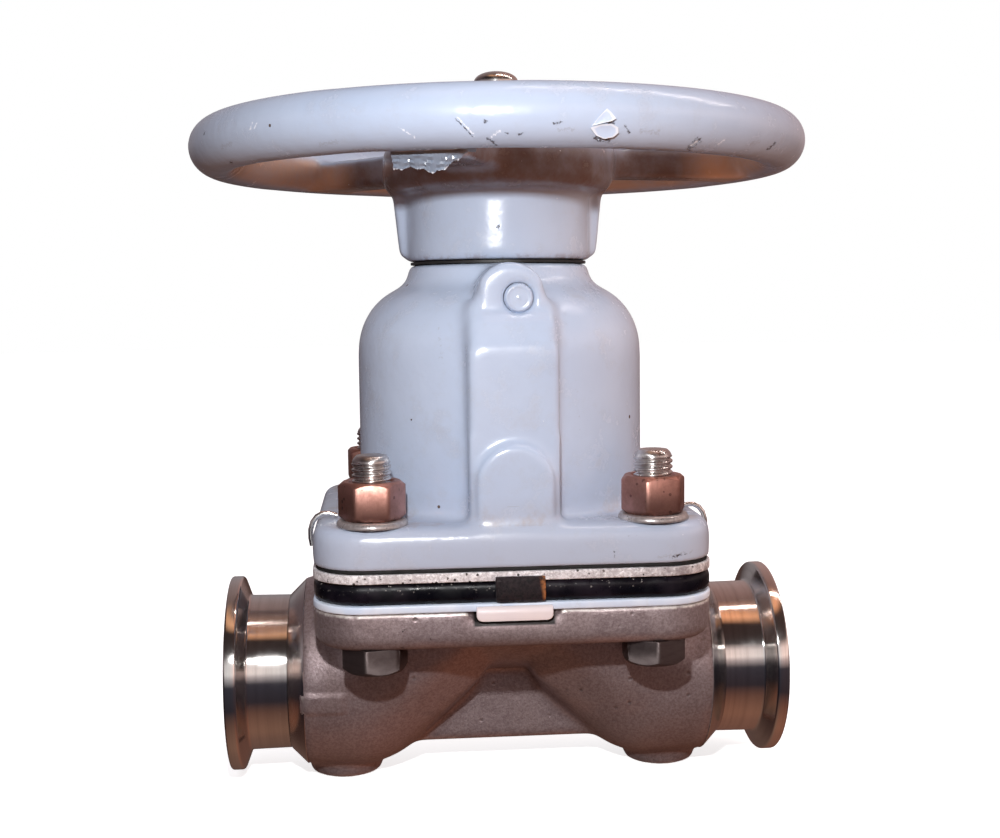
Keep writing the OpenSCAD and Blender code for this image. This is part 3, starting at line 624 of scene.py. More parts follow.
ferrule_finish = polished(
    "polished_ferrule", (0.70, 0.672, 0.654), (0.50, 0.472, 0.455), 0.10, (0, 0, AXIS_Z), (1, 0, 0)
)
for side, node in ((-1, "inlet_ferrule"), (1, "outlet_ferrule")):
    ferrule_mesh = turned(node + "_turned", ferrule_profile)
    moved(ferrule_mesh, side * FERRULE_FACE, 0, AXIS_Z, -side * math.pi / 2)
    ferrule_mesh.materials.append(ferrule_finish)
    ferrule = link(node + "_turned", ferrule_mesh)
    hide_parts(node)
    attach(ferrule, "valve")

# The end of each bowl is turned to a polished taper, down to the ferrule's tube
TAPER_START = 65.9
BARREL_R = 31.0
taper_profile = [(TUBE_R - 3, BODY_END), (TUBE_R + 0.1, BODY_END), (BARREL_R, TAPER_START)]
taper_profile += [(BARREL_R - 5, TAPER_START)]
for side, label in ((-1, "taper_left"), (1, "taper_right")):
    taper_mesh = turned(label, softened(taper_profile, 0.5))
    moved(taper_mesh, 0, 0, AXIS_Z, side * math.pi / 2)
    taper_mesh.materials.append(ferrule_finish)
    taper = link(label, taper_mesh)
    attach(taper, "valve")


# ---- Clamped stack -----------------------------------------------------------------------------------------
# Between the flanges lie the PTFE diaphragm, its thick rubber backing, the steel finger plate and a thin
# gasket, all cut to the flange's outline and squeezed by the bolts. PTFE and plate have a tab in front.

FLANGE = (123.0, 114.0, 16.0)
BOLT_AT = (43.0, 46.1)
HOLE_R = 6.6
MOUTH_R = 33.0
PTFE_T = 2.4
PTFE_TAB_X = -1.1
PTFE_TAB = (23.0, 1.5, 1.6)
PTFE_BEND = 1.5
PLATE_TAB_X = 0.7
PLATE_TAB = (15.0, 1.3, 1.2)
PLATE_BEND = 1.3
RUBBER_Z = 67.9
RUBBER_T = 6.7
PLATE_Z = 74.6
PLATE_T = 2.8
GASKET_Z = 77.4
GASKET_T = 1.1
GASKET_MOUTH_R = 39.5
front = -FLANGE[1] / 2
dice = np.random.default_rng(7)


def arc(cx, cy, r, start, end, step=0.12):
    count = max(3, int(abs(end - start) / step) + 1)
    return [(cx + r * math.cos(a), cy + r * math.sin(a)) for a in np.linspace(start, end, count)]


def circle(x, y, r, step=0.06):
    return arc(x, y, r, 0, math.tau, step)[:-1]


def flange_outline(grow=0.0, wander=0.0):
    """Points round the flanges' outline, moved in and out at random by up to wander."""
    half_x, half_y, corner = FLANGE[0] / 2 - FLANGE[2], FLANGE[1] / 2 - FLANGE[2], FLANGE[2] + grow
    path = []
    for quarter, (sx, sy) in enumerate(((1, 1), (-1, 1), (-1, -1), (1, -1))):
        path += arc(sx * half_x, sy * half_y, corner, quarter * math.pi / 2, (quarter + 1) * math.pi / 2)
    dense = []
    for (x0, y0), (x1, y1) in zip(path, path[1:] + path[:1]):
        parts_n = max(1, int(math.hypot(x1 - x0, y1 - y0) / 3.0))
        dense += [(x0 + (x1 - x0) * k / parts_n, y0 + (y1 - y0) * k / parts_n) for k in range(parts_n)]
    if wander:
        drift = np.cumsum(dice.normal(0, 1, len(dense)))
        drift -= np.linspace(0, drift[-1], len(dense))
        drift = drift - drift.mean()
        drift *= wander / np.abs(drift).max()
        dense = [(x * (1 + d / 60), y * (1 + d / 60)) for (x, y), d in zip(dense, drift)]
    return dense


def bolt_places():
    return [(sx * BOLT_AT[0], sy * BOLT_AT[1]) for sx in (-1, 1) for sy in (-1, 1)]


def sheet_mesh(name, loops, low, thick, edge):
    """A flat sheet between its loops, with rounded edges."""
    curve = bpy.data.curves.new(name, "CURVE")
    curve.dimensions = "2D"
    curve.fill_mode = "BOTH"
    curve.extrude = (thick / 2 - edge) * MM
    curve.bevel_depth = edge * MM
    curve.bevel_resolution = 2
    curve.offset = -edge * MM
    for loop in loops:
        spline = curve.splines.new("POLY")
        spline.points.add(len(loop) - 1)
        for point, (x, y) in zip(spline.points, loop):
            point.co = (x * MM, y * MM, 0, 1)
        spline.use_cyclic_u = True
    return tidy_mesh(moved(evaluated(link(name + "_outline", curve)), z=low + thick / 2), 40)


def bent_tab(width, path, thick, corner):
    """A strip that runs along a (y, z) path, with rounded corners at its far end."""
    path = np.array(path, float)
    steps = np.gradient(path, axis=0)
    steps /= np.linalg.norm(steps, axis=1)[:, None]
    sideways = np.stack([-steps[:, 1], steps[:, 0]], 1)
    travel = np.concatenate([[0], np.cumsum(np.linalg.norm(np.diff(path, axis=0), axis=1))])
    left = travel[-1] - travel
    pinch = np.where(left < corner, corner - np.sqrt(np.maximum(corner**2 - (corner - left) ** 2, 0)), 0)
    rows = []
    for centre, side, cut in zip(path, sideways, pinch):
        half = width / 2 - cut
        corners = [(sx * half, sy * thick / 2) for sx, sy in ((-1, -1), (1, -1), (1, 1), (-1, 1))]
        loop = softened(corners, thick * 0.3)
        rows.append([(x, centre[0] + side[0] * t, centre[1] + side[1] * t) for x, t in loop])
    return rows


def joined(name, meshes):
    """One mesh from several."""
    work = bmesh.new()
    for mesh in meshes:
        work.from_mesh(mesh)
        bpy.data.meshes.remove(mesh)
    made = bpy.data.meshes.new(name)
    work.to_mesh(made)
    work.free()
    return made


def front_tab(name, size, level, bend_r, tail, x):
    """A tab that leaves the front edge level, folds down and ends along a tail of (distance out, height).
    Its size is its width, thickness and corner radius."""
    width, thick, corner = size
    path = [(front + 2.0, level), (front + 0.6, level)]
    path += [
        (front + 0.6 - bend_r * math.sin(a), level - bend_r * (1 - math.cos(a)))
        for a in np.linspace(0.2, math.pi / 2, 6)
    ]
    path += [(front - out, z) for out, z in tail]
    return moved(skinned(name, bent_tab(width, path, thick, corner), smooth_below=50), x)


bolt_holes = [circle(x, y, HOLE_R, 0.2) for x, y in bolt_places()]
mouth = circle(0, 0, MOUTH_R)

# Small specks of dirt, dust or missing paint
tree, given, give = effect("specks", {"Scale": 900.0, "Size": 0.25, "Share": 0.2}, ("Mask",))
distance, luck = cells(tree, given["Scale"])
kept = math_node(tree, "LESS_THAN", luck["X"], given["Share"])
inside = math_node(tree, "LESS_THAN", distance, times(tree, luck["Y"], given["Size"]))
give(Mask=times(tree, kept, inside))
specks = tree


def dots(tree, scale, size, share):
    return place(tree, specks, Scale=scale, Size=size, Share=share)["Mask"]


ptfe_finish, tree, shader = finish_of("ptfe", Specular_IOR_Level=0.45)
colour = layers(
    tree,
    mixed(tree, clouds(tree, (90.0, 4), 0.35, 0.7), (0.56, 0.66, 0.82), (0.68, 0.75, 0.86)),
    (clouds(tree, (170.0, 5, 0.7), 0.55, 0.75), 0.3, (0.42, 0.42, 0.44)),
    (slope(tree, 0.1 - front, 0.4 - front, (0, -1, 0)), 0.75, (0.78, 0.66, 0.64)),
    (dots(tree, 700.0, 0.25, 0.05), (0.16, 0.13, 0.11)),
)
surface(shader, colour, clouds(tree, (300.0,), 0.3, 0.7, 0.30, 0.5), noise(tree, 500.0, 3), 0.05)

rubber_finish, tree, shader = finish_of("backing_rubber", Specular_IOR_Level=0.20)
dusty = times(tree, dots(tree, 1500.0, 0.45, 0.35), slope(tree, RUBBER_Z + 3.2, RUBBER_Z + 5.8))
dusty = times(tree, dusty, clouds(tree, (120.0, 4, 0.7), 0.45, 0.6))
colour = mixed(tree, clouds(tree, (80.0, 5), 0.4, 0.7), (0.002, 0.002, 0.004), (0.010, 0.007, 0.012))
colour = mixed(tree, dusty, colour, (0.42, 0.40, 0.38))
surface(shader, colour, clouds(tree, (200.0, 4), 0.3, 0.7, 0.22, 0.5), noise(tree, 260.0, 5, 0.6), 0.12)

ptfe_rim = sheet_mesh("ptfe_rim", [flange_outline(0.0, 0.25), mouth] + bolt_holes, FACE_Z, PTFE_T, 0.55)
ptfe_tail = [(0.9, z) for z in (65.0, 64.2, 63.6, 63.3, 63.05, 62.85)]
ptfe_tab = front_tab("ptfe_tab", PTFE_TAB, FACE_Z + PTFE_T / 2 - 0.1, PTFE_BEND, ptfe_tail, PTFE_TAB_X)
ptfe = link("diaphragm_rim", joined("diaphragm_rim", [ptfe_rim, ptfe_tab]))
ptfe.data.materials.append(ptfe_finish)
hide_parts("diaphragm")
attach(ptfe, "valve")

rubber_mesh = sheet_mesh(
    "backing_rim", [flange_outline(-0.1, 0.35), mouth] + bolt_holes, RUBBER_Z, RUBBER_T, 2.2
)
rubber = link("backing_rim", rubber_mesh)
rubber.data.materials.append(rubber_finish)
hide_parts("diaphragm_backing")
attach(rubber, "valve")

# The flexible part between rim and crown is cut into eight equal sectors, each a piece of its own round its
# middle line.
SECTORS = 8
CROWN_R = 12.0
DOME = 3.5
STUD_HOLE = 4.2
WEIR_R = 36.0


def dome_height(x, y):
    """Height of the moulded dome above the flat rim. Its crown follows the arc of the weir it closes on."""
    r = math.hypot(x, y)
    t = np.clip((MOUTH_R - r) / (MOUTH_R - CROWN_R), 0, 1)
    reach_y = y * min(1.0, CROWN_R / max(r, 0.001))
    return (DOME + WEIR_R - math.sqrt(WEIR_R**2 - reach_y**2)) * t * t * (3 - 2 * t)


def sector_mesh(name, middle, low, thick):
    angles = middle + np.linspace(-math.pi / SECTORS, math.pi / SECTORS, 9)
    radii = np.linspace(MOUTH_R, CROWN_R, 15)
    loop = [(r, low) for r in radii] + [(r, low + thick) for r in radii[::-1]]
    rows = []
    for a in angles:
        flat_points = [(r * math.cos(a), r * math.sin(a), h) for r, h in loop]
        rows.append([(x, y, h + dome_height(x, y)) for x, y, h in flat_points])
    return skinned(name, rows, smooth_below=50)


for label, low, thick, coat, slot_name in (
    ("diaphragm", FACE_Z, PTFE_T, ptfe_finish, "ptfe"),
    ("backing", RUBBER_Z, RUBBER_T, rubber_finish, "backing_rubber"),
):
    for i in range(SECTORS):
        middle = i * math.tau / SECTORS
        flex = link(f"{label}_flex_{i}", sector_mesh(f"{label}_flex_{i}", middle, low, thick))
        flex.data.materials.append(coat)
        way = np.array([math.cos(middle), math.sin(middle), 0]) * MM
        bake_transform(flex)
    hole = 0.0 if label == "diaphragm" else STUD_HOLE
    radii = np.linspace(hole, CROWN_R, 6)
    crown_loop = [(r, low) for r in radii] + [(r, low + thick) for r in radii[::-1]]
    crown = link(label + "_crown", turned(label + "_crown", crown_loop, closed=hole > 0, steps=72))
    for vertex in crown.data.vertices:
        vertex.co.z += dome_height(vertex.co.x / MM, vertex.co.y / MM) * MM
    crown.data.materials.append(coat)
    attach(crown, "stem_group")

# The plate's slots leave room for the compressor's fingers
FINGERS = 8
SLOT_R = 35.7
SLOT_HALF = 4.75
PLATE_HOLE = 22.0
slots = []
gap_angle = math.asin(SLOT_HALF / PLATE_HOLE)
for middle in full_turn(FINGERS):
    c, s = math.cos(middle), math.sin(middle)
    for u, v in ((PLATE_HOLE * math.cos(gap_angle), -SLOT_HALF), (SLOT_R, -SLOT_HALF), (SLOT_R, SLOT_HALF)):
        slots.append((u * c - v * s, u * s + v * c))
    slots += arc(0, 0, PLATE_HOLE, middle + gap_angle, middle + math.tau / FINGERS - gap_angle)[:-1]
plate_rim = sheet_mesh("plate_rim", [flange_outline(0.0, 0.06), slots] + bolt_holes, PLATE_Z, PLATE_T, 0.3)
plate_tail = [(0.8, 73.4), (1.0, 72.2), (1.1, 71.0), (1.0, 70.0), (0.8, 69.3), (0.5, 68.9), (0.2, 68.7)]
plate_tab = front_tab("plate_tab", PLATE_TAB, PLATE_Z + 1.0, PLATE_BEND, plate_tail, PLATE_TAB_X)

plate_finish, tree, shader = finish_of("zinc_plate", Specular_IOR_Level=0.28)
mottle = clouds(tree, (700.0, 5, 0.75), 0.38, 0.62)
pock = dots(tree, 900.0, 0.46, 0.18)
on_tab = slope(tree, 0.15 - front, 0.4 - front, (0, -1, 0))
rusty = times(tree, slope(tree, 8, 52, (1, 0, 0)), clouds(tree, (150.0, 5, 0.7), 0.42, 0.62))
orange = times(tree, slope(tree, 17.4, 18.7, (1, 0, 0.15)), clouds(tree, (420.0, 5, 0.7), 0.35, 0.6))
steel_colour = layers(
    tree,
    mixed(tree, mottle, (0.56, 0.525, 0.545), (0.98, 0.96, 0.985)),
    (clouds(tree, (55.0, 5, 0.6), 0.42, 0.62), 0.22, (0.26, 0.22, 0.23)),
    (pock, (0.06, 0.05, 0.048)),
    (rusty, (0.30, 0.26, 0.275)),
)
black_tab = mixed(tree, mottle, (0.004, 0.002, 0.004), (0.018, 0.010, 0.012))
black_tab = mixed(tree, orange, black_tab, (0.42, 0.155, 0.05))
colour = mixed(tree, on_tab, steel_colour, black_tab)
grain = minus(tree, mottle, pock)
surface(shader, colour, reach(tree, mottle, 0.0, 1.0, 0.62, 0.42), grain, 0.12)
bare = minus(tree, 0.25, math_node(tree, "MAXIMUM", pock, on_tab), clamp=True)
tree.links.new(bare, shader.inputs["Metallic"])
plate = link("finger_plate_pressed", joined("finger_plate_pressed", [plate_rim, plate_tab]))
plate.data.materials.append(plate_finish)
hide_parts("finger_plate")
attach(plate, "valve")

gasket_finish, tree, shader = finish_of("gasket_rubber", Specular_IOR_Level=0.3)
colour = mixed(tree, noise(tree, 250.0), (0.004, 0.004, 0.004), (0.016, 0.015, 0.015))
surface(shader, colour, clouds(tree, (160.0,), 0.3, 0.7, 0.6, 0.85))
gasket_loops = [flange_outline(-0.9, 0.1), circle(0, 0, GASKET_MOUTH_R)] + bolt_holes
gasket_mesh = sheet_mesh("bonnet_gasket_cut", gasket_loops, GASKET_Z, GASKET_T, 0.2)
gasket = link("bonnet_gasket_cut", gasket_mesh)
gasket.data.materials.append(gasket_finish)
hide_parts("bonnet_gasket")
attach(gasket, "valve")


# ---- Bonnet ------------------------------------------------------------------------------------------------
# The bonnet is cast iron under a thick, glossy, light grey plastic coating that rounds every edge: a domed
# pot on the square flange, with a flat rib, a boss with a plug, and an arched pad at front and back.

BONNET_Z = 78.5
FLANGE_TOP = 91.0
BOSS_Z = 158.6
BOSS_R = 10.4
ARCH_R = 14.0
ARCH_TOP = 118.0
RIB_HALF = 9.3


def bonnet_softness(p):
    across, out, z = np.abs(p[:, 0]), np.abs(p[:, 1]), p[:, 2]
    above = np.clip((z - BONNET_Z - 0.3) / 1.5, 0.06, 1)
    by_arch = (across < ARCH_R) & (z > FLANGE_TOP + 1.5) & (z < ARCH_TOP)
    by_boss = (np.hypot(across, z - BOSS_Z) < BOSS_R + 1.2) & (z > BOSS_Z - BOSS_R * 0.55)
    at_shoulder = (across > RIB_HALF) & (across < 16) & (z > 143) & (z < 163) & (out > 40)
    return above * np.where(at_shoulder, 1.9, np.where(by_arch | by_boss, 0.35, 1.0))


bonnet_mesh, _ = soft_casting("bonnet", "bonnet_casting", voxel=0.8, passes=34, softness=bonnet_softness)
bonnet = link("bonnet_casting", bonnet_mesh)
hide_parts("bonnet")
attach(bonnet, "valve")

# Fine straight scratches in two directions, in places
tree, given, give = effect("scratches", {"Density": 0.5, "Length": 60.0}, ("Mask",))
here = own_place(tree)
lines = []
for turn, width in ((0.5, 0.12), (2.1, 0.084)):
    turned_to = put(tree, "Mapping", Vector=here, Rotation=(0.3 * turn, turn, 0.4 * turn), Scale=(1, 22, 22))
    distance, luck = cells(tree, given["Length"], turned_to.outputs[0])
    thin = math_node(tree, "LESS_THAN", distance, width)
    lines.append(times(tree, thin, math_node(tree, "LESS_THAN", luck["X"], given["Density"])))
give(Mask=times(tree, math_node(tree, "MAXIMUM", *lines), clouds(tree, (22.0, 3), 0.55, 0.62)))
scratches = tree


def coating(name, tint, marks=((), (), ()), stain=None):
    """Thick glossy light grey plastic coating: orange peel, slow colour drift, nicks, and darker corners of
    dirt and painted shade. marks are cuts, scrapes and smears; on the wheel two of the cuts are painted
    shadow under the flaps. stain turns a tree into a mask and a colour: settled dirt on the bonnet, painted
    light on the wheel's underside."""
    made, tree, shader = finish_of(name, Specular_IOR_Level=0.5)
    wear_and_shade = place(tree, edge_wear_and_corner_shade, Edge=0.57, Corner=0.462, Spread=0.03, Break_up=120.0)
    deep, pale = ([tint * v for v in shade] for shade in ((0.385, 0.465, 0.610), (0.440, 0.520, 0.660)))
    mottled = times(tree, clouds(tree, (90.0, 6, 0.72), 0.48, 0.80), 0.34)
    nick = dots(tree, 130.0, 0.11, 0.16)
    cut, scraped, smeared = (marked(tree, some) for some in marks)
    colour = layers(
        tree,
        mixed(tree, clouds(tree, (14.0, 4), 0.3, 0.7), deep, pale),
        (mottled, (0.33, 0.32, 0.33)),
        # Settled dirt on the bonnet; painted light on the wheel's underside
        *([stain(tree)] if stain else []),
        # Darker corners: dirt and painted shade
        (wear_and_shade["Dirty"], 0.65, (0.13, 0.105, 0.10)),
        (wear_and_shade["Worn"], (0.62, 0.66, 0.74)),
        (nick, (0.10, 0.075, 0.065)),
        (dots(tree, 240.0, 0.06, 0.10), (0.70, 0.74, 0.80)),
        (place(tree, scratches, Density=0.10)["Mask"], 0.35, (0.24, 0.24, 0.26)),
        (smeared, 0.24, (0.20, 0.17, 0.16)),
        # Cuts, and on the wheel painted shadow under the two flaps
        (cut, 0.85, (0.06, 0.05, 0.055)),
        (scraped, 0.8, (0.74, 0.79, 0.88)),
    )
    dull = scaled(tree, mottled, 0.5, clouds(tree, (35.0, 6, 0.7), 0.3, 0.8, 0.19, 0.28))
    peel = scaled(tree, noise(tree, 330.0, 2), 0.2, noise(tree, 75.0, 3))
    dents = math_node(tree, "MAXIMUM", nick, cut)
    surface(shader, colour, dull, scaled(tree, dents, -0.6, peel), 0.26)
    return made


BONNET_CUTS = [
    stroke(*row)
    for row in (
        (-13.8, 132, -13.8, 132, 0.5), (7.4, 139.6, 8.0, 138.8, 0.35), (6.2, 137.4, 6.0, 136.2, 0.3),
        (-19.2, 123.4, -18.8, 121.6, 0.5, -50), (-18.4, 119.4, -17.6, 118.2, 0.4, -50),
        (-10.4, 120.4, -10.4, 120.4, 0.4), (29, 83.2, 29.2, 80.6, 0.25), (46.8, 80.5, 49.6, 80.8, 0.5),
        (49.6, 80.8, 51.8, 81.7, 0.5), (33.4, 87.2, 34.8, 87.6, 0.25), (34.8, 87.6, 37.6, 86.6, 0.2),
    )
]
BONNET_SCRAPES = [
    stroke(-31, 89.2, -27, 89.0, 0.3),
    stroke(-25.5, 89.0, -22, 88.9, 0.25),
    stroke(0, 130.5, 1.5, 133, 0.2),
]
BONNET_SMEARS = [
    stroke(42, 80.4, 53, 81.4, 0.8),
    stroke(-22, 150, -21, 140, 0.9, -45),
    stroke(20, 133, 21, 118, 0.8, -48),
]


def settled_dirt(tree):
    """Dirt that has settled on the flange round the foot of the pot."""
    foot = slope(tree, FLANGE_TOP + 9, FLANGE_TOP + 0.5)
    on_top = slope(tree, FLANGE_TOP - 0.9, FLANGE_TOP - 0.1)
    patches = times(tree, on_top, clouds(tree, (38.0, 6, 0.7), 0.40, 0.64, 0.0, 0.8))
    return times(tree, foot, math_node(tree, "MAXIMUM", patches, 0.22)), (0.34, 0.30, 0.30)


bonnet_marks = (BONNET_CUTS, BONNET_SCRAPES, BONNET_SMEARS)
bonnet_finish = coating("grey_coating_bonnet", 1.06, bonnet_marks, settled_dirt)
bonnet_mesh.materials.append(bonnet_finish)

# The plug in the boss is painted over: a low ring round a shallow dish
plug_low, plug_high = (Vector(corner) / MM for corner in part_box("bonnet_plug"))
PLUG_R = 4.0
plug_profile = [(0, 0.02), (0.35, -0.02), (0.8, -0.12), (PLUG_R - 1.0, -0.12), (PLUG_R - 0.35, 0.12)]
plug_profile += [(PLUG_R + 0.1, -0.25), (PLUG_R + 0.5, -1.2)]
plug_mesh = turned("bonnet_plug_ring", softened(plug_profile, 0.4, closed=False), closed=False, steps=72)
plug_middle = 0.5 * (plug_low + plug_high)
moved(plug_mesh, plug_middle.x, plug_low.y, plug_middle.z, math.pi / 2, "X")
plug_mesh.materials.append(bonnet_finish)
plug = link("bonnet_plug_ring", plug_mesh)
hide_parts("bonnet_plug")
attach(plug, "valve")


# ---- Fasteners ---------------------------------------------------------------------------------------------
# Four stainless bolts come up through both flanges, each with a plain washer and a copper-brown bronze nut;
# their rounded ends stand a few threads out. A bright spring wire clips over each side of the flange.

BOLT_R = 6.0
BOLT_PITCH = 1.75
BOLT_TOP = 112.1
THREAD_DEPTH = 0.75
BOLT_NOSE = 2.1
HEX_AF = 18.0
HEAD_H = 7.5
NUT_Z = 92.6
NUT_H = 11.7
WASHER = (21.7 / 2, 1.6)


def hex_rings(across, height, turn, low_cut, bore, steps=120):
    """Rings round a hexagon with turned-off corners, from its underside up, out and round to its bore."""
    angles = full_turn(steps)
    off_flat = (np.degrees(angles) + 30) % 60 - 30
    reach_out = across / 2 / np.cos(np.radians(off_flat))
    reach_out = np.minimum(reach_out, across / 2 / math.cos(math.radians(30)) - 0.2)
    face_r = across * 0.475
    fall = np.maximum(reach_out - face_r, 0) * math.tan(math.radians(36))
    low_fall = fall if low_cut else 0 * fall
    high = height - fall
    profile = [(face_r if low_cut else reach_out - 0.2, 0)]
    profile += [(reach_out - 0.12, low_fall + 0.02), (reach_out, low_fall + 0.25)]
    profile += [(reach_out, high - 0.25), (reach_out - 0.12, high - 0.03)]
    profile += [(face_r + 0.05, height - 0.03), (face_r - 0.2, height)]
    if bore:
        profile += [(bore + 1.0, height), (bore + 0.25, height - 0.8), (bore + 0.25, 0.8), (bore + 1.0, 0.0)]
    return [ring(angles + turn, radius, z) for radius, z in profile]


def threaded(name, radius, pitch, depth, low, start, high, nose, hand=1, steps=96):
    """A bar, plain from low to start, then with a real helical thread up to its chamfered, domed end."""
    angles = full_turn(steps)
    rings = [ring(angles, radius, low), ring(angles, radius, start - 0.3)]
    for z in np.arange(start, high - nose, pitch / 10):
        phase = (z / pitch - hand * angles / math.tau) % 1
        groove = np.clip(1.25 - np.abs(phase - 0.5) * 3.6, 0, 1)
        rings.append(ring(angles, radius - depth * groove * min(1, (z - start) / 0.8), z))
    for t in np.linspace(0, 1, 7):
        nose_z = high - nose + nose * (t - 0.04 * t * t)
        rings.append(ring(angles, radius - nose * (0.12 + 0.62 * t**1.7), nose_z))
    rings.append(ring(angles, radius - nose * 1.0, high))
    return skinned(name, rings, smooth_below=60)


def at_bolts(name, maker):
    """One mesh with a copy of the same piece at each of the four bolts."""
    return joined(name, [moved(maker(i), x, y) for i, (x, y) in enumerate(bolt_places())])


NUT_TURNS = [math.radians(t) for t in (30, 8, 39, 17)]
HEAD_TURNS = [math.radians(t) for t in (16, 40, 1, 25)]
SUNK = 0.4


def one_head(i):
    rings = hex_rings(HEX_AF, HEAD_H + SUNK, HEAD_TURNS[i], False, 0)
    return moved(skinned("head", rings, smooth_below=30), 0, 0, BODY_UNDER + SUNK, math.pi, "X")


def one_shank(i):
    start = NUT_Z + NUT_H - 1.2
    return threaded("shank", BOLT_R, BOLT_PITCH, THREAD_DEPTH, BODY_UNDER - 1, start, BOLT_TOP, BOLT_NOSE)


def one_nut(i):
    rings = hex_rings(HEX_AF, NUT_H, NUT_TURNS[i], True, BOLT_R)
    return moved(skinned("nut", rings, True, 30), 0, 0, NUT_Z)


def one_washer(i):
    inner, outer, low, high = HOLE_R, WASHER[0], FLANGE_TOP - SUNK, FLANGE_TOP + WASHER[1]
    edge = [(inner, low), (outer, low), (outer, high - 1.1), (outer - 0.7, high), (inner, high)]
    return turned("washer", softened(edge, 0.5), steps=96)


bolt_finish = polished("bolt_steel", (0.66, 0.627, 0.616), (0.40, 0.367, 0.345), 0.24)
# The bolt heads are the shanks' steel made much darker: painted shade for the shade under the flange
shaded_head_finish = polished("head_steel_painted_shade", (0.20, 0.163, 0.16), (0.12, 0.093, 0.092), 0.62)

washer_finish, tree, shader = finish_of("washer_steel", Metallic=0.6)
# The top of the washer is darker: grime there, and painted shade on the upper half of its rounded edge
grime_and_top_shade = scaled(tree, slope(tree, FLANGE_TOP + 1.1, FLANGE_TOP + 2.1), 0.75, 0.25)
grime_and_top_shade = times(tree, grime_and_top_shade, clouds(tree, (260.0, 5, 0.7), 0.30, 0.55))
colour = mixed(tree, clouds(tree, (900.0, 3), 0.35, 0.65), (0.50, 0.47, 0.47), (0.36, 0.33, 0.33))
colour = mixed(tree, grime_and_top_shade, colour, (0.28, 0.23, 0.22))
surface(shader, colour, reach(tree, grime_and_top_shade, 0.0, 0.9, 0.27, 0.6), noise(tree, 420.0, 4, 0.7), 0.10)

nut_finish, tree, shader = finish_of("nut_bronze", Metallic=1.0)
wear_and_shade = place(tree, edge_wear_and_corner_shade, Edge=0.56, Corner=0.44, Spread=0.05, Break_up=500.0)
tarnish = clouds(tree, (130.0, 5, 0.65), 0.35, 0.68)
foot_dirt = times(tree, slope(tree, NUT_Z + 1.5, NUT_Z), clouds(tree, (330.0, 5, 0.7), 0.35, 0.6))
colour = layers(
    tree,
    mixed(tree, tarnish, (0.54, 0.28, 0.23), (0.35, 0.175, 0.14)),
    (foot_dirt, (0.07, 0.045, 0.04)),
    (dots(tree, 520.0, 0.42, 0.25), 0.6, (0.10, 0.05, 0.04)),
    (wear_and_shade["Worn"], (0.80, 0.50, 0.38)),
    # Darker corners: dirt and painted shade
    (wear_and_shade["Dirty"], (0.08, 0.05, 0.04)),
)
upright = put(tree, "Mapping", Vector=own_place(tree), Scale=(1, 1, 0.06)).outputs[0]
brushed = scaled(tree, noise(tree, 2600.0, 3, 0.7, upright), 0.8, noise(tree, 160.0, 3))
surface(shader, colour, reach(tree, tarnish, 0.0, 1.0, 0.40, 0.52), brushed, 0.07)

for label, node, maker, coat, slot_name in (
    ("bolts_threaded", "flange_bolts", one_shank, bolt_finish, "bright_steel"),
    ("bolt_heads", "flange_bolts", one_head, shaded_head_finish, "bright_steel"),
    ("washers_turned", "flange_washers", one_washer, washer_finish, "bright_steel"),
    ("nuts_hexagon", "flange_nuts", one_nut, nut_finish, "nut_bronze"),
):
    piece = link(label, at_bolts(label, maker))
    piece.data.materials.append(coat)
    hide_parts(node)
    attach(piece, "valve")

WIRE_R = 0.8
WIRE_Y = -33.1
WIRE_PATH = [(-54, 91.9), (-56.6, 92.6), (-58.6, 92.6), (-60.3, 91.7)]
WIRE_PATH += [(-61.6, 90), (-62.3, 87.6), (-62.3, 85), (-61.9, 82.6)]
wire_finish = polished("wire_steel", (0.82, 0.80, 0.78), (0.62, 0.60, 0.58), 0.16)
way = np.gradient(np.array(WIRE_PATH), axis=0)
way /= np.linalg.norm(way, axis=1)[:, None]
round_wire = [(WIRE_R * math.cos(a), WIRE_R * math.sin(a)) for a in full_turn(16)]
for side, node in ((1, "clip_wire_left"), (-1, "clip_wire_right")):
    rings = [
        [(side * (x - along_z * u), WIRE_Y + v, z + along_x * u) for u, v in round_wire]
        for (x, z), (along_x, along_z) in zip(WIRE_PATH, way)
    ]
    wire = link(node + "_bent", skinned(node + "_bent", rings, smooth_below=60))
    wire.data.materials.append(wire_finish)
    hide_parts(node)
    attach(wire, "valve")


# ---- Handwheel ---------------------------------------------------------------------------------------------
# The handwheel is cast iron with the same coating: a round rim, three flat spokes that flare into a disc, and
# a deep hub with a rib at each side. The coating has worn, cracked and peeled where tools have knocked it.

RING_R = 90.9
RIM_R = 8.8
WHEEL_Z = 207.1
SPOKE_START = 12.0
SPOKE_HALF = 14.0
RIM_START = 78.0
DISC_EDGE = 40.0
DISC_UNDER = 190.5
HUB_FOOT = 171.0


def wheel_softness(p):
    radius = np.hypot(p[:, 0], p[:, 1])
    angle = np.degrees(np.arctan2(p[:, 1], p[:, 0]))
    off_spoke = np.abs((angle - SPOKE_START + 60) % 120 - 60)
    rim_only = np.clip((radius - RIM_START) / 3, 0, 1) * np.clip((off_spoke - SPOKE_HALF) / 5, 0, 1)
    disc_edge = np.clip(1 - abs(radius - DISC_EDGE) / 6, 0, 1)
    disc_edge *= np.clip((p[:, 2] - DISC_UNDER + 2.5) / 4, 0, 1)
    return 0.4 - 0.34 * rim_only + 1.5 * disc_edge


wheel_mesh, _ = soft_casting(
    "handwheel", "handwheel_casting", voxel=0.85, passes=30, softness=wheel_softness
)
wheel = link("handwheel_casting", wheel_mesh)


def on_rim(angle, height, lift=0.0):
    """A point on the outside of the rim, at an angle in degrees and a height."""
    out = RING_R + math.sqrt(RIM_R**2 - (height - WHEEL_Z) ** 2) + lift
    return (out * math.cos(math.radians(angle)), out * math.sin(math.radians(angle)), height)


def rim_mark(a0, z0, a1, z1, width):
    """A mark on the outside of the rim, between two angles in degrees with their heights."""
    return (on_rim(a0, z0), on_rim(a1, z1), width)


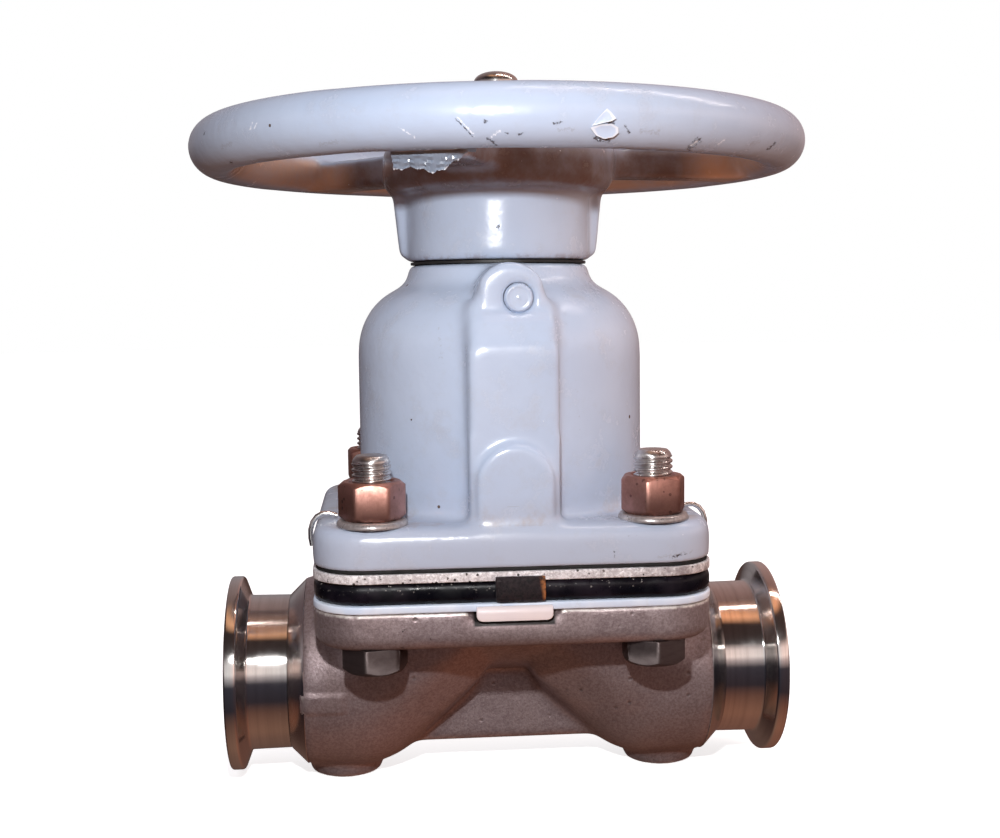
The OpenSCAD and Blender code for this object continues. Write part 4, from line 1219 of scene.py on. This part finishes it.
WHEEL_CUTS_AND_FLAP_SHADOWS = [
    rim_mark(*row)
    for row in (
        (-96.6, 204.3, -96.5, 204.2, 0.5), (-86.2, 203.6, -85.0, 203.9, 0.5),
        (-93.5, 201.3, -93.2, 201.3, 0.4), (-91.4, 201.0, -91.0, 201.2, 0.4),
        (-96.4, 200.2, -94.8, 198.7, 0.35), (-101, 205.1, -98.6, 200.7, 0.22),
        (-74.8, 203.4, -73.7, 201.6, 0.35), (-60.9, 199.3, -60.4, 200.9, 1.1),
        # Two of these are painted shadow, not cuts: the dark crescent from -79.3 to -76.8 degrees under the
        # lower flap, and the dark line from -78.2 to -76.9 degrees under the upper flap
        (-40.7, 200.6, -39.6, 202.4, 0.6), (-79.3, 200.4, -76.8, 199.9, 0.8),
        (-78.2, 204.3, -76.9, 204.0, 0.6), (-154.6, 207.7, -154.4, 207.9, 0.6),
        (-150.5, 199, -150.2, 199, 0.6),
    )
]
WHEEL_CUTS_AND_FLAP_SHADOWS.append(((-2.8, -30, 180.9), (-2.2, -30, 180.4), 0.5))
WHEEL_SCRAPES = [
    rim_mark(*row)
    for row in (
        (-109.9, 203.5, -107.6, 200.9, 0.3), (-100.7, 205.4, -98.3, 201.0, 0.3),
        (-95.6, 200.6, -94.3, 202.0, 0.4), (-60.9, 199.5, -60.5, 200.7, 0.6),
        (-55.4, 200.4, -54.6, 201.5, 0.35), (-138.4, 206.2, -137.6, 208.0, 0.3),
        (-137.2, 206.2, -136.6, 207.6, 0.3),
    )
]
WHEEL_SMEARS = [
    rim_mark(*row)
    for row in (
        (-85.4, 202.1, -83, 202.2, 0.7), (-71.8, 202.3, -68.8, 202.0, 0.9),
        (-124.2, 200.6, -121.2, 200.8, 0.8), (-47, 201.4, -45, 201.8, 0.9), (-148, 203, -145, 203.4, 1.0),
    )
]


def painted_underside_light(tree):
    """Brown painted light on the underside of the spokes and disc, and on the inside of the rim: a warm
    painted reflection towards the rim, painted shade towards the hub, and a line of painted shade at the foot
    of the hub.
    """
    here = split(tree, own_place(tree))
    out = vector_math(tree, "LENGTH", put(tree, "CombineXYZ", X=here["X"], Y=here["Y"]).outputs[0])
    facing = split(tree, put(tree, "NewGeometry").outputs["Normal"])["Z"]
    inside = clouds(tree, (45.0, 5, 0.65), 0.30, 0.62, 0.6, 0.95)
    for value, low, high in (
        (out, (RING_R - 2) * MM, (RING_R - 6) * MM),
        (here["Z"], (WHEEL_Z + 7) * MM, (WHEEL_Z + 1) * MM),
        (here["Z"], DISC_UNDER * MM, (DISC_UNDER + 3) * MM),
        (facing, 0.6, -0.05),
    ):
        inside = times(tree, inside, reach(tree, value, low, high))
    # Painted shade along the foot of the hub
    hub_foot = reach(tree, here["Z"], (HUB_FOOT + 2.2) * MM, HUB_FOOT * MM)
    hub_foot_shade = times(tree, hub_foot, clouds(tree, (220.0, 5, 0.7), 0.45, 0.65, 0.0, 0.5))
    # Warm painted reflection towards the rim, dark painted shade towards the hub
    outward = reach(tree, out, (RIM_START - 18) * MM, RIM_START * MM)
    bounce_and_shade_colour = mixed(tree, outward, (0.16, 0.10, 0.08), (0.66, 0.42, 0.28))
    return math_node(tree, "MAXIMUM", inside, hub_foot_shade), bounce_and_shade_colour


wheel_marks = (WHEEL_CUTS_AND_FLAP_SHADOWS, WHEEL_SCRAPES, WHEEL_SMEARS)
wheel_finish = coating("grey_coating_wheel", 0.97, wheel_marks, painted_underside_light)
# The flaps get a lighter copy of the coating, painted light where they catch the lamp; the torn sheet a much
# darker copy, painted shade for the rim's shadow it hangs in
lit_flap_finish = coating("grey_coating_flaps_painted_light", 1.08)
shaded_torn_finish = coating("grey_coating_torn_painted_shade", 0.41)
wheel_mesh.materials.append(wheel_finish)
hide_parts("handwheel")
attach(wheel, "wheel")

# Where the rim was struck the coating has split, and two flaps of it stand off the metal. More of it hangs in
# a torn, crumpled sheet from the joint of the front spoke with the rim.
FLAKE_T = 0.35
FLAPS = [
    [
        *((-80.3, 203.1, 0.1), (-79.6, 204.8, 0.2), (-78.7, 206.6, 0.3), (-78.1, 207.6, 0.3)),
        *((-77.4, 206.5, 0.5), (-76.7, 205.0, 0.9), (-77.4, 204.3, 1.1), (-79.0, 203.7, 0.6)),
    ],
    [
        *((-80.5, 202.7, 0.2), (-79.0, 203.5, 0.4), (-77.2, 203.7, 0.5), (-76.1, 202.9, 0.6)),
        *((-75.9, 201.6, 0.9), (-76.6, 200.5, 1.3), (-78.0, 200.0, 1.5), (-79.5, 200.8, 1.1)),
    ],
]
flap_meshes = []
for flap in FLAPS:
    middle = np.mean([on_rim(a, z, 0.5) for a, z, _ in flap], axis=0)
    outer = np.array([on_rim(*point) for point in flap])
    rings = []
    for share, extra in ((0.0, 0), (0.5, 0), (1.0, 0), (1.0, FLAKE_T), (0.5, FLAKE_T), (0.0, FLAKE_T)):
        spread = middle + share * (outer - middle)
        rings.append(spread * (1 + (extra - 0.2) / 100 * np.array([1, 1, 0])))
    flap_meshes.append(skinned("flap", rings, smooth_below=50))

TORN_ARC = (-114.5, -98.5)
TORN_R = 86.5
TORN_TOP = 199.4
TORN_LOW = 193.6
columns = np.linspace(*TORN_ARC, 60)
lower_edge = TORN_LOW + 0.8 * np.sin(columns * 0.55) + 0.3 * np.sin(columns * 2.3)
lower_edge += dice.normal(0, 0.12, len(columns)) + np.clip(columns + 106, 0, 8) * 0.6
rows = []
for degrees, low in zip(columns, lower_edge):
    levels = np.linspace(TORN_TOP, low, 9)
    wrinkle = 0.22 * np.sin(0.5 * degrees + 3.6 * levels) + 0.12 * np.sin(1.3 * degrees - 5.1 * levels)
    depths = TORN_R - np.linspace(0, 2.4, 9) + wrinkle + dice.normal(0, 0.04, 9)
    loop = list(zip(depths, levels)) + list(zip(depths[::-1] - FLAKE_T, levels[::-1]))
    angle = math.radians(degrees)
    rows.append([(r * math.cos(angle), r * math.sin(angle), z) for r, z in loop])
torn = link("coating_torn", skinned("coating_torn", rows, smooth_below=25))
torn.visible_shadow = False
torn.data.materials.append(shaded_torn_finish)
flaps = link("coating_flaps", joined("coating_flaps", flap_meshes))
flaps.data.materials.append(lit_flap_finish)
for piece in (torn, flaps):
    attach(piece, "wheel")


# ---- Sleeve, washers, key and wheel nut --------------------------------------------------------------------
# A bronze sleeve with the inside thread turns in the bush between two thrust washers. The wheel sits on its
# upper end on a key, held by a tab washer and a thin nut; rubber rings seal the stem and the bush.

bronze_finish = polished("bearing_bronze", (0.62, 0.40, 0.22), (0.38, 0.23, 0.12), 0.28)
dull_finish = polished("dull_steel", (0.36, 0.365, 0.38), (0.20, 0.20, 0.21), 0.34)
seal_finish, tree, shader = finish_of("seal_rubber", Specular_IOR_Level=0.4)
colour = mixed(tree, noise(tree, 300.0), (0.008, 0.008, 0.009), (0.022, 0.021, 0.021))
surface(shader, colour, clouds(tree, (200.0,), 0.3, 0.7, 0.4, 0.65))
THRUST_WASHERS = ("thrust_washer_lower", "thrust_washer_upper")
for coat, nodes in (
    (bronze_finish, ("bonnet_bush", "drive_sleeve", "stud_nut", *THRUST_WASHERS)),
    (dull_finish, ("wheel_key", "wheel_washer", "wheel_nut", "compressor")),
    (seal_finish, ("sleeve_seals", "neck_seal", "stem_seal")),
    (bolt_finish, ("compressor_pin", "diaphragm_stud")),
):
    for node in nodes:
        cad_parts[node].data.materials.clear()
        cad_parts[node].data.materials.append(coat)


# ---- Stem --------------------------------------------------------------------------------------------------
# The stem is a stainless bar that doesn't turn. Its polished end rises out of the wheel as the valve opens,
# and its lower end is pinned into the compressor.

stem_finish = polished("stem_steel", (0.70, 0.68, 0.66), (0.46, 0.44, 0.42), 0.16)
STEM_R = 10.0
TIP_R = 7.4
STEM_LOW = 98.0
SHOULDER_Z = 205.1
STEM_TOP = 232.8
LEAD = 5.0
LEAD_DEPTH = 1.4
THREAD_START = 132.0
STEM_NOSE = 0.6
stem_bar = threaded(
    "stem_bar", STEM_R, LEAD, LEAD_DEPTH, STEM_LOW, THREAD_START, SHOULDER_Z, STEM_NOSE, hand=-1
)
TIP_DOME = 4.3
tip_profile = [
    (TIP_R * math.sin(t), STEM_TOP - TIP_DOME * (1 - math.cos(t) ** 0.75))
    for t in np.linspace(0, math.pi / 2, 17)
]
tip_profile += [(TIP_R, SHOULDER_Z - 2.0)]
stem_tip = turned("stem_tip", tip_profile, closed=False, steps=96)
stem = link("stem_turned", joined("stem_turned", [stem_bar, stem_tip]))
stem.data.materials.append(stem_finish)
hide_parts("stem")
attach(stem, "stem_group")
